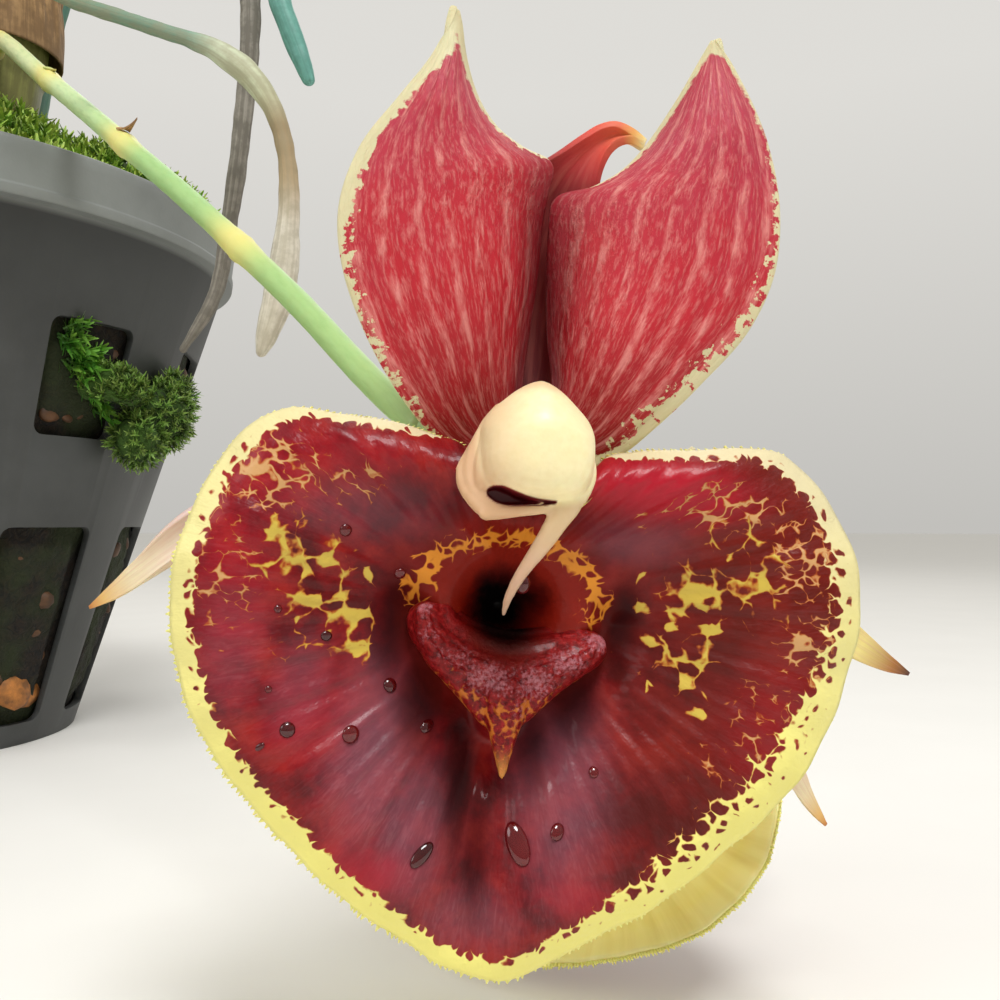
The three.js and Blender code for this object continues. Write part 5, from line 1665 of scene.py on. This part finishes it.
    def drops(self) -> Piece:
        """Sets drops of water on the face, and one on the column's antenna."""
        spots = ((1.4, -38.1, 1.1, 2.2), (5.1, -36.6, 0.7, 0.9), (-15.5, -28.6, 0.9, 0.9),
            (-21.3, -28.2, 0.75, 0.75), (-12.2, -24.2, 0.75, 0.75), (-17.8, -9.3, 0.65, 0.65),
            (-18.7, -19.6, 0.5, 0.6), (-23.3, -17.2, 0.4, 0.4), (-23.4, -24.6, 0.35, 0.35),
            (-12.2, -13.2, 0.6, 0.6), (-7.8, -39.2, 0.7, 1.5), (-8.2, -28, 0.6, 0.9), (8.5, -31, 0.5, 0.6),
            (-23.6, -29.8, 0.5, 0.3))
        drops = []
        for x, y, wide, tall in spots:
            point, normal = self.at(x, y)
            drop = ball((0, 0, 0), (wide, tall, min(wide, tall) * 0.5), 20)
            turn = np.array(Vector(normal).to_track_quat("Z", "Y").to_matrix())
            reshape(drop, positions(drop) @ turn.T + point + normal * 0.02)
            drops.append(drop)
        drops.append(ball((-0.7, -12.9, 1.2), (0.75, 0.95, 0.75), 24))
        body = joined("water_drops", drops)
        reshape(body, to_world(self.place, positions(body)))
        return body

    def build(self) -> None:
        """Makes and dresses the lip."""
        face, back = LipFace().make(), LipBack().make()
        dress(self.dish(), "lip", [f"{self.name}_lip"], face, back).name = f"lip_{self.name}"
        fringe = dress(self.fringe(), "lip", [], LipBack("#f6f08c", "#f0e880", "#f6f08c").make())
        fringe.name = f"lip_fringe_{self.name}"
        dress(self.callus(), "lip", [f"{self.name}_lip"], CallusFlesh().make()).name = f"callus_{self.name}"
        if self.name == "front":
            dress(self.drops(), "lip", [], ClearWater().make())


def to_world(place: Matrix, points: Array) -> Array:
    """Moves points in mm from a bloom's own frame to the row frame."""
    return points @ np.array(place.to_3x3()).T + np.array(place.translation)


@dataclass
class Blade:
    """One petal or upper sepal: a thin blade between two outlines, from its base to its tip."""

    name: str
    inner: Line
    outer: Line
    depth: Callable[[Array, Array], Array]
    thickness: float
    outer_band: Line = ((0, 0), (1, 0))
    inner_band: Line = ((0, 0), (1, 0))
    ragged: Line = ((0, 0), (1, 0))

    def mesh(self, place: Matrix) -> Piece:
        """Lays the blade over its surface and gives it its thickness."""
        along = np.linspace(0, 1, 101)[:, None]
        across = np.linspace(0, 1, 57)[None]
        near = spline([(x, y, 0) for x, y in self.inner], along[:, 0])[:, None]
        far = spline([(x, y, 0) for x, y in self.outer], along[:, 0])[:, None]
        local = lerp(near, far, across[..., None])
        local[..., 2] = self.depth(across, along)
        width = np.linalg.norm(far - near, axis=-1)
        outside = (1 - across) * width - through(self.outer_band)(along)
        inside = across * width - through(self.inner_band)(along)
        inside = np.minimum(inside, np.linalg.norm(local - local[-1:, -1:], axis=-1)
                            - float(through(self.outer_band)(np.array(1.0))) * 1.6)
        ragged = through(self.ragged)(along) + 0 * across
        # Painted shade: dark along the inner edge where it curls back, and at the base.
        painted_fold_shade = np.clip(bump(across, 0.0, 0.16) * ramp(0.8, 0.3, along) + 0.6 * ramp(0.2, 0, along), 0, 1)
        marks = {"local": local, "edge": np.stack([np.minimum(outside, inside), ragged, painted_fold_shade * 0.85], -1)}
        piece = skin(self.name, to_world(place, local), False, marks)
        modified(piece, "SOLIDIFY", thickness=self.thickness * MM * place.median_scale, offset=0)
        modified(piece, "SUBSURF", levels=1, render_levels=1)
        with edit_mode(piece):
            bpy.ops.mesh.normals_make_consistent(inside=False)
        return piece


@dataclass
class LateralSepal:
    """One lateral sepal: a boat-shaped blade from the flower's heart out behind the lip."""

    name: str
    root: Spot
    tip: Spot
    half_width: float
    bow: float

    def mesh(self, place: Matrix) -> Piece:
        """Lays the blade over its surface and gives it its thickness."""
        along = np.linspace(0, 1, 81)[:, None]
        across = np.linspace(0, 1, 33)[None]
        offset = (across - 0.5) * 2
        axis = np.array([self.tip[0] - self.root[0], self.tip[1] - self.root[1]])
        sideways = np.array([-axis[1], axis[0]]) / np.linalg.norm(axis) * math.copysign(1, self.tip[0])
        width = through([(0, 0.42), (0.12, 0.85), (0.35, 1), (0.6, 0.86), (0.82, 0.52), (0.94, 0.26),
            (1, 0.06)])
        level = through([(0, self.root[2]), (0.3, -13.6), (0.7, -13.2), (1, self.tip[2])])
        wave = 0.25 * np.sin(along * 19) * np.abs(offset)
        aside = offset * self.half_width * width(along) + self.bow * np.sin(math.pi * along) + wave
        depth = level(along) - 1.5 * (1 - offset ** 2) * np.sin(math.pi * np.minimum(along * 1.15, 1))
        local = np.stack([self.root[0] + axis[0] * along + sideways[0] * aside,
                          self.root[1] + axis[1] * along + sideways[1] * aside, depth], -1)
        piece = skin(self.name, to_world(place, local), False, {"local": local})
        modified(piece, "SOLIDIFY", thickness=0.95 * MM * place.median_scale, offset=0)
        weld(piece)
        return piece


@dataclass
class Column:
    """The column: foot, arching neck, hooded cap over the dark stigma, wing and antennae."""

    place: Matrix
    name: str
    cap_at: Spot = (-1.15, 0.25, 6.1)
    cap_radii: Spot = (5.15, 5.45, 5.6)

    def hood_share(self, points: Array) -> Array:
        """Gives 1 on the hooded cap's skin, less inside it and more outside it."""
        away = np.abs((points - self.cap_at) / self.cap_radii)
        power = 1.5 + 0.45 * ramp(4.5, 0, points[:, 1]) + 1.6 * ramp(1.8, -3.4, points[:, 1])
        return (away ** power[:, None]).sum(axis=1) ** (1 / power)

    def hood(self) -> Piece:
        """Shapes the cap: an egg, full at its lower edge, from a ball."""
        piece = ball(self.cap_at, self.cap_radii, 48)
        spots = positions(piece)
        centre = np.array(self.cap_at)
        reshape(piece, centre + (spots - centre) / self.hood_share(spots)[:, None])
        return piece

    def build(self) -> Piece:
        """Fuses the column from its parts, hollows the stigma, and dresses it."""
        parts = [
            rod("foot", [(0, 0, -13), (0, 0, -3.6)], 3.9, 24, 0.8),
            rod("neck", [(0, 0.6, -7), (0, 1.8, -2.5), (-0.5, 1.4, 2), (-1.2, 0, 5.5)],
                through([(0, 2.6), (0.35, 3.3), (0.7, 4.3), (1, 4.6)]), 24, 0.6),
            self.hood(),
            ball((-4.9, -2.2, 4.6), (2.0, 3.6, 2.8), 28), ball((-2.4, -4.6, 6.0), (4.2, 1.9, 2.1), 28),
            rod("web", [(-3.8, 3.4, 3.8), (-5.4, 0.9, 4.9), (-6.4, -1.5, 5.6), (-6.6, -3.4, 6.3),
                        (-6.0, -5.0, 7.2), (-4.8, -5.9, 8.0), (-3.4, -6.0, 8.3)], 1.0, 20, 0.4),
            rod("web", [(-3.8, 2.6, 5.2), (-4.9, 0.6, 6.2), (-5.5, -1.6, 7.0), (-5.6, -3.4, 7.5),
                        (-5.2, -4.9, 7.9)], 1.05, 20, 0.4),
            rod("flange", [(-4.3, 3.4, 3.2), (-5.8, 0.9, 4.2), (-7.0, -1.4, 5.0), (-7.5, -2.9, 5.6),
                           (-7.15, -4.6, 6.5), (-6.3, -5.7, 7.5), (-5.1, -6.5, 8.4), (-3.8, -6.45, 8.9),
                           (-2.5, -6.25, 9.0), (-0.8, -5.95, 8.8), (0.8, -5.3, 8.2)],
                through([(0, 0.6), (0.3, 0.6), (0.5, 0.6), (0.7, 0.6), (0.85, 0.48), (1, 0.5)]),
                16, 0.4, 1, 0.35),
            ball((-7.7, -2.9, 5.6), (0.5, 0.55, 0.45), 12), ball((-5.3, -6.8, 8.6), (0.75, 0.55, 0.5), 12),
            ball((-7.1, -5.0, 7.0), (0.5, 0.6, 0.5), 12), ball((3.9, -2.2, 6.8), (0.5, 0.7, 0.5), 12),
            rod("cheek", [(2.6, 1.0, 4.6), (3.2, -0.8, 5.8), (3.4, -2.4, 6.8), (2.9, -4.0, 7.5),
                          (2.2, -5.2, 8.1)], through([(0, 0.9), (0.6, 1.0), (1, 0.9)]), 16, 0.4),
            rod("antenna", [(2.5, -3.4, 7.2), (1.9, -5.2, 8.2), (1.0, -6.7, 8.4), (0.3, -8.2, 7.9),
                            (-0.4, -9.7, 6.8), (-1.1, -11.3, 5.0), (-1.6, -12.9, 2.8),
                            (-1.85, -14.7, -0.1), (-1.75, -16.3, -3.2)],
                through([(0, 1.3), (0.15, 1.15), (0.33, 0.88), (0.5, 0.66), (0.8, 0.42), (1, 0.22)]),
                16, 0.35, 0.75)]
        column = fused("column", parts, 0.17, 4)
        hollow = rod("hollow", [(-5.45, -4.7, 10), (-4.5, -4.95, 10), (-3.4, -5.2, 10), (-2.05, -5.32, 10),
                                (-0.7, -5.34, 10), (0.7, -5.2, 10)],
                     through([(0, 0.35), (0.16, 0.7), (0.36, 0.6), (0.58, 0.38), (0.8, 0.24), (1, 0.12)]),
                     20, 0.3)
        spots = positions(hollow)
        spots[:, 2] = np.clip(10 + (spots[:, 2] - 10) * 9, 6.2, 15)
        reshape(hollow, spots)
        modified(column, "BOOLEAN", object=hollow, operation="DIFFERENCE", solver="EXACT")
        spots = positions(column)
        tree = faces_near(hollow)
        bpy.data.objects.remove(hollow)
        near = np.array([tree.find_nearest(Vector(p * MM))[3] for p in spots]) / MM
        x, y, z = spots.T
        peach_and_shade = 1 - ramp(1.16, 1.0, self.hood_share(spots))
        # Painted shade: peach on the left side and the lower left, where the light falls off; the last term
        # puts peach on the top, beyond 3.9 mm in y.
        flush = 0.5 * ramp(-1.5, -5.8, x) + 0.2 * ramp(-1, -5, y) * ramp(1.5, -3, x) + 0.5 * ramp(3.9, 5.2, y)
        antenna = ramp(-6.5, -13, y) * ramp(-3.5, -1.5, x)
        mark(column, "zones", np.stack([np.clip(peach_and_shade * 0.6 + flush, 0, 0.9), antenna * 0.7,
                                        ramp(0.12, 0.03, near)], -1))
        mark(column, "local", spots)
        reshape(column, to_world(self.place, spots))
        dress(column, "column", [f"{self.name}_column"], ColumnFlesh().make())
        column.name = f"column_{self.name}"
        return column


@dataclass
class Bloom:
    """One flower: lip, two petals, three sepals and the column, in its own frame."""

    name: str
    at: Spot
    yaw: float
    pitch: float
    roll: float
    size: float
    left_tip: Spot
    right_tip: Spot
    detail: float = 1.0
    left_inner: Line = (
        (-0.9, 4.2), (-1.2, 8), (-0.9, 13.6), (-0.4, 20), (-0.3, 26), (0.1, 29.6), (0.2, 32.1), (-2.9, 33.3),
        (-5.9, 35), (-8.8, 38), (-10.6, 41.6), (-11.3, 45.2))
    left_outer: Line = ((-4.9, -1.4), (-9.6, 0.7), (-13.5, 4.4), (-17.4, 9.8), (-20.6, 16.6), (-21.5, 22.4),
        (-20, 28.8), (-16.4, 34.8), (-13.2, 40.3), (-11.9, 45.5))
    right_inner: Line = ((1.1, 4.25), (2.1, 8), (1.5, 13), (0.9, 19), (0.6, 24.4), (0.9, 28.2), (4.8, 29.8),
        (8.9, 32.9), (12.7, 39), (15.5, 45.8))
    right_outer: Line = ((4.9, -1.4), (9.2, 0.6), (12.9, 4.3), (17, 9), (21.4, 14.8), (23.6, 21),
        (23.6, 28.2), (22.3, 33.8), (20.4, 38.4), (18, 42.7), (16.2, 46))
    dorsal_inner: Line = (
        (-1.4, 4.4), (-5, 9), (-6.6, 16), (-5.6, 24), (-3.6, 29), (-0.8, 33), (1.6, 35), (4, 37), (5.8, 38.3),
        (7.5, 38.8), (9.4, 38.2), (11, 37.1))
    dorsal_outer: Line = (
        (1.4, 4.4), (5.4, 9), (7, 16), (6.6, 22), (6.2, 27), (6, 31), (6.3, 33.8), (7, 35.6), (8, 36.7),
        (9.3, 37.2), (11, 36.8))

    def place(self) -> Matrix:
        """Gives the matrix from the bloom's own frame to the row frame, in mm."""
        return (Matrix.Translation(self.at) @ Matrix.Rotation(math.radians(self.yaw), 4, "Z")
                @ Matrix.Rotation(math.radians(90 + self.pitch), 4, "X") @ Matrix.Scale(self.size, 4)
                @ Matrix.Rotation(math.radians(self.roll), 4, "Z"))

    def petal_depth(self, across: Array, along: Array) -> Array:
        """Gives how far back a petal lies, with its shallow fanned ribs."""
        arch = through([(0, -11.6), (0.35, -5.4), (0.7, -3.9), (1, -5.2)])(across)
        ribs = 0.14 * np.sin(across * math.tau * 7.5) * ramp(0, 0.2, along) * ramp(1, 0.7, along)
        wave = 0.5 * np.sin(along * 13 + 1) * across ** 6
        return lerp(lerp(-9, arch, ramp(0, 0.3, along)), -7, ramp(0.72, 1, along)) + ribs + wave

    def dorsal_depth(self, across: Array, along: Array) -> Array:
        """Gives how far back the upper sepal lies."""
        spine = lerp(-13, -15.3, ramp(0, 0.25, along))
        return spine + 1.1 * (2 * across - 1) ** 2 * ramp(0, 0.2, along)

    def build(self) -> None:
        """Makes and dresses every part of the bloom."""
        place = self.place()
        Lip(place, self.name, int(420 * self.detail), int(54 * self.detail)).build()
        petal = PetalFlesh().make()
        bands = {
            "left": (
                ((0, 0.4), (0.25, 0.5), (0.45, 0.9), (0.6, 1.9), (0.8, 1.8), (0.95, 1.2), (1, 0.5)),
                ((0, -6), (0.5, -4), (0.57, 0.4), (0.65, 0.9), (0.8, 1.0), (1, 1.0)),
                ((0, 0.5), (0.2, 1.2), (0.45, 1.8), (0.62, 1.0), (0.8, 0.6), (1, 0.3))),
            "right": (
                ((0, 0.8), (0.15, 1.4), (0.3, 1.5), (0.45, 1.0), (0.6, 0.6), (0.8, 0.35), (0.95, 0.6),
                 (1, 1.2)),
                ((0, -6), (0.4, -4), (0.56, -2), (0.62, 0.5), (0.8, 0.9), (1, 0.9)),
                ((0, 1.0), (0.2, 2.4), (0.4, 2.0), (0.6, 1.2), (0.75, 0.5), (1, 0.3))),
        }
        for side, inner, outer in (("left", self.left_inner, self.left_outer),
                                   ("right", self.right_inner, self.right_outer)):
            blade = Blade(f"petal_{side}_{self.name}", inner, outer, self.petal_depth, 0.85, *bands[side])
            dress(blade.mesh(place), "petal", [f"{self.name}_petal_{side}"], petal)
        dorsal = Blade(f"sepal_dorsal_{self.name}", self.dorsal_inner, self.dorsal_outer,
                       self.dorsal_depth, 0.95)
        dress(dorsal.mesh(place), "sepal", [f"{self.name}_sepal_dorsal"],
              SepalFlesh("upper_sepal_flesh", (
                  (0, "#4c060a"), (0.42, "#6a0e12"), (0.54, "#ac3434"), (0.66, "#d05044"), (0.84, "#dc6c4c"),
                  (0.92, "#e4a458"), (0.97, "#f0d084"), (1, "#f6e8b0")), "#c87868", 0.18).make())
        for side, root, tip, half, bow, stops in (
                ("left", -4.4, self.left_tip, 2.9, 4.6, (
                    (0, "#ccaaa4"), (0.7, "#dcc4bc"), (0.88, "#eadcb8"), (0.96, "#e0b870"), (1, "#c4803c"))),
                ("right", 4.4, self.right_tip, 3.5, 0.1, (
                    (0, "#e0d8a0"), (0.6, "#ece2a0"), (0.85, "#ecdc90"), (0.95, "#a87038"), (1, "#40241a")))):
            sepal = LateralSepal(f"sepal_{side}_{self.name}", (root, -1, -11.4), tip, half, bow)
            dress(sepal.mesh(place), "sepal", [f"{self.name}_sepal_{side}"],
                  SepalFlesh(f"{side}_sepal_flesh", stops).make())
        Column(place, self.name).build()


@dataclass
class Studio:
    """Pale paper floor, soft lights and the camera at the photographed angle."""

    camera_at: Spot = (166.8, -267.8, 56.9)
    camera_pitch: float = 1.4
    lens: float = 35
    lights: tuple[tuple[str, Spot, float, float], ...] = (
        ("key", (0.3, -0.5, 0.75), 0.3, 4.6),
        ("side", (-0.45, -0.55, 0.5), 0.4, 1.3),
        ("back", (0.1, 0.7, 0.7), 0.7, 1.2),
    )

    def build(self) -> None:
        """Sets up the floor, the lights and the camera."""
        floor = primitive("circle", vertices=96, radius=6, fill_type="NGON")
        floor.name = floor.data.name = "paper_floor"
        floor.data.materials.append(StudioPaper().make())
        aim = Vector((0.12, -0.1, 0.1))
        for name, at, size, power in self.lights:
            light = bpy.data.lights.new(f"{name}_light", "AREA")
            light.shape, light.size, light.energy = "DISK", size, power
            lamp = bpy.data.objects.new(f"{name}_light", light)
            bpy.context.collection.objects.link(lamp)
            lamp.location = at
            lamp.rotation_euler = (aim - Vector(at)).to_track_quat("-Z", "Y").to_euler()
        world = bpy.data.worlds.new("soft_room")
        bpy.context.scene.world = world
        world.use_nodes = True
        backdrop = world.node_tree.nodes["Background"]
        # The wall behind the pot is lit, and the room behind the camera is darker.
        add = partial(add_node, world.node_tree)
        _, back, up = add("SeparateXYZ", {0: add("TexCoord", out="Generated")}, out=None)
        high = add("MapRange", {"Value": up, 1: 0.0, 2: 0.4, 3: 0.66, 4: 0.9})
        lit = add("MapRange", {"Value": back, 1: -0.7, 2: 0.5, 3: 0.6, 4: 1.0})
        strength = add("Math", {0: high, 1: lit}, operation="MULTIPLY")
        world.node_tree.links.new(strength, backdrop.inputs[1])
        backdrop.inputs[0].default_value = linear("#e9e7e2")
        lens = bpy.data.cameras.new("camera")
        lens.lens, lens.sensor_width = self.lens, 36
        lens.clip_start, lens.clip_end = 0.01, 20
        camera = bpy.data.objects.new("camera", lens)
        bpy.context.collection.objects.link(camera)
        camera.location = tuple(c * MM for c in self.camera_at)
        camera.rotation_euler = (math.radians(90 + self.camera_pitch), 0, 0)
        bpy.context.scene.camera = camera
        bpy.context.scene.view_settings.view_transform = "Standard"


def main() -> None:
    logging.basicConfig(level=logging.INFO, format="%(message)s")
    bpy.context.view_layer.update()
    Studio().build()
    basket = Basket()
    basket.build()
    MossBed(basket).build()
    for bulb in (Bulb("lead", (22, 4), (2, -2), 126, 16), Bulb("middle", (-22, 26), (-5, 6), 106, 14.5),
                 Bulb("old", (-34, -16), (-8, -6), 88, 13)):
        bulb.build()
    roots = (
        AerialRoot(1, RootFinish.GREY, ((0, 2.2), (0.3, 2.3), (0.75, 2.1), (0.96, 1.5), (1, 0.7)),
            ((8, 30, 160), (10, 36, 190), (20, 36, 218), (42, 20, 234), (70, -12, 234), (96, -45, 214),
            (110.8, -62.5, 188), (114.2, -65.4, 166), (113, -64.9, 145.8), (109.9, -64.3, 121.6),
            (106.6, -63.9, 105), (99.6, -63.6, 93))),
        AerialRoot(2, RootFinish.PALE,
            ((0, 1.4), (0.72, 1.45), (0.775, 2.5), (0.825, 1.8), (0.89, 2.1), (0.95, 3.1), (0.985, 2),
            (1, 0.8)),
            ((-3, 12, 159), (-8, 2, 178), (-4, -18, 196), (14, -38, 201), (40, -54, 191),
            (62, -70, 173), (80.8, -80.2, 160), (98.4, -80.1, 154), (112, -79.9, 149), (119.6, -79.8, 142.5),
            (123.9, -79.7, 134), (125.5, -79.4, 124), (125.3, -79.2, 114), (123.6, -78.9, 101.5),
            (119.8, -78.5, 89.5))),
        AerialRoot(3, RootFinish.TEAL, ((0, 1.7), (0.5, 1.8), (0.85, 2.3), (0.97, 2.1), (1, 1.2)),
            ((20, 34, 160), (20, 42, 192), (27, 42, 226), (50, 24, 250), (84, -14, 250),
            (107, -47, 224), (118.2, -65, 189), (121.4, -70.3, 165), (125.2, -70.1, 154.3),
            (127.9, -69.9, 147.1))))
    for root in roots:
        root.build()
    blooms = (
        Bloom("front", (170.6, -174.5, 64), 6, 0, -5, 1.0, (-44.3, -19.9, -15), (47, -20.4, -15)),
        Bloom("rear", (185.9, -134.8, 33.9), 155, 32, 25, 0.77, (-39.5, -5.6, -9.4), (44, -16, -15), 0.7),
    )
    for bloom in blooms:
        bloom.build()
    seats = []
    for bloom in blooms:
        foot = -13 * bloom.size
        seats.append([tuple(bloom.place() @ Vector((0, 0, depth / bloom.size)))
                      for depth in (foot - 3.8, foot - 0.3)])
    FlowerStem(
        ((30.8, -9, 183.2), (36.8, -18.2, 182.2), (60, -44.6, 161.4), (79.2, -66, 144), (95.4, -84.3, 129),
         (112.1, -103, 113.6), (125.8, -118.4, 100.4), (139, -133.5, 87.3), (150.7, -147.6, 74.7),
         (158.2, -156, 67.4)),
        ((156.6, -154.4, 68.6), (161.5, -157, 66.6), *seats[0]),
        ((157.4, -155.2, 68), (164, -149.5, 60.5), (173.5, -146.5, 48.5), (180, -145.6, 42),
         *seats[1])).build()
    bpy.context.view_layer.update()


if __name__ == "__main__":
    main()
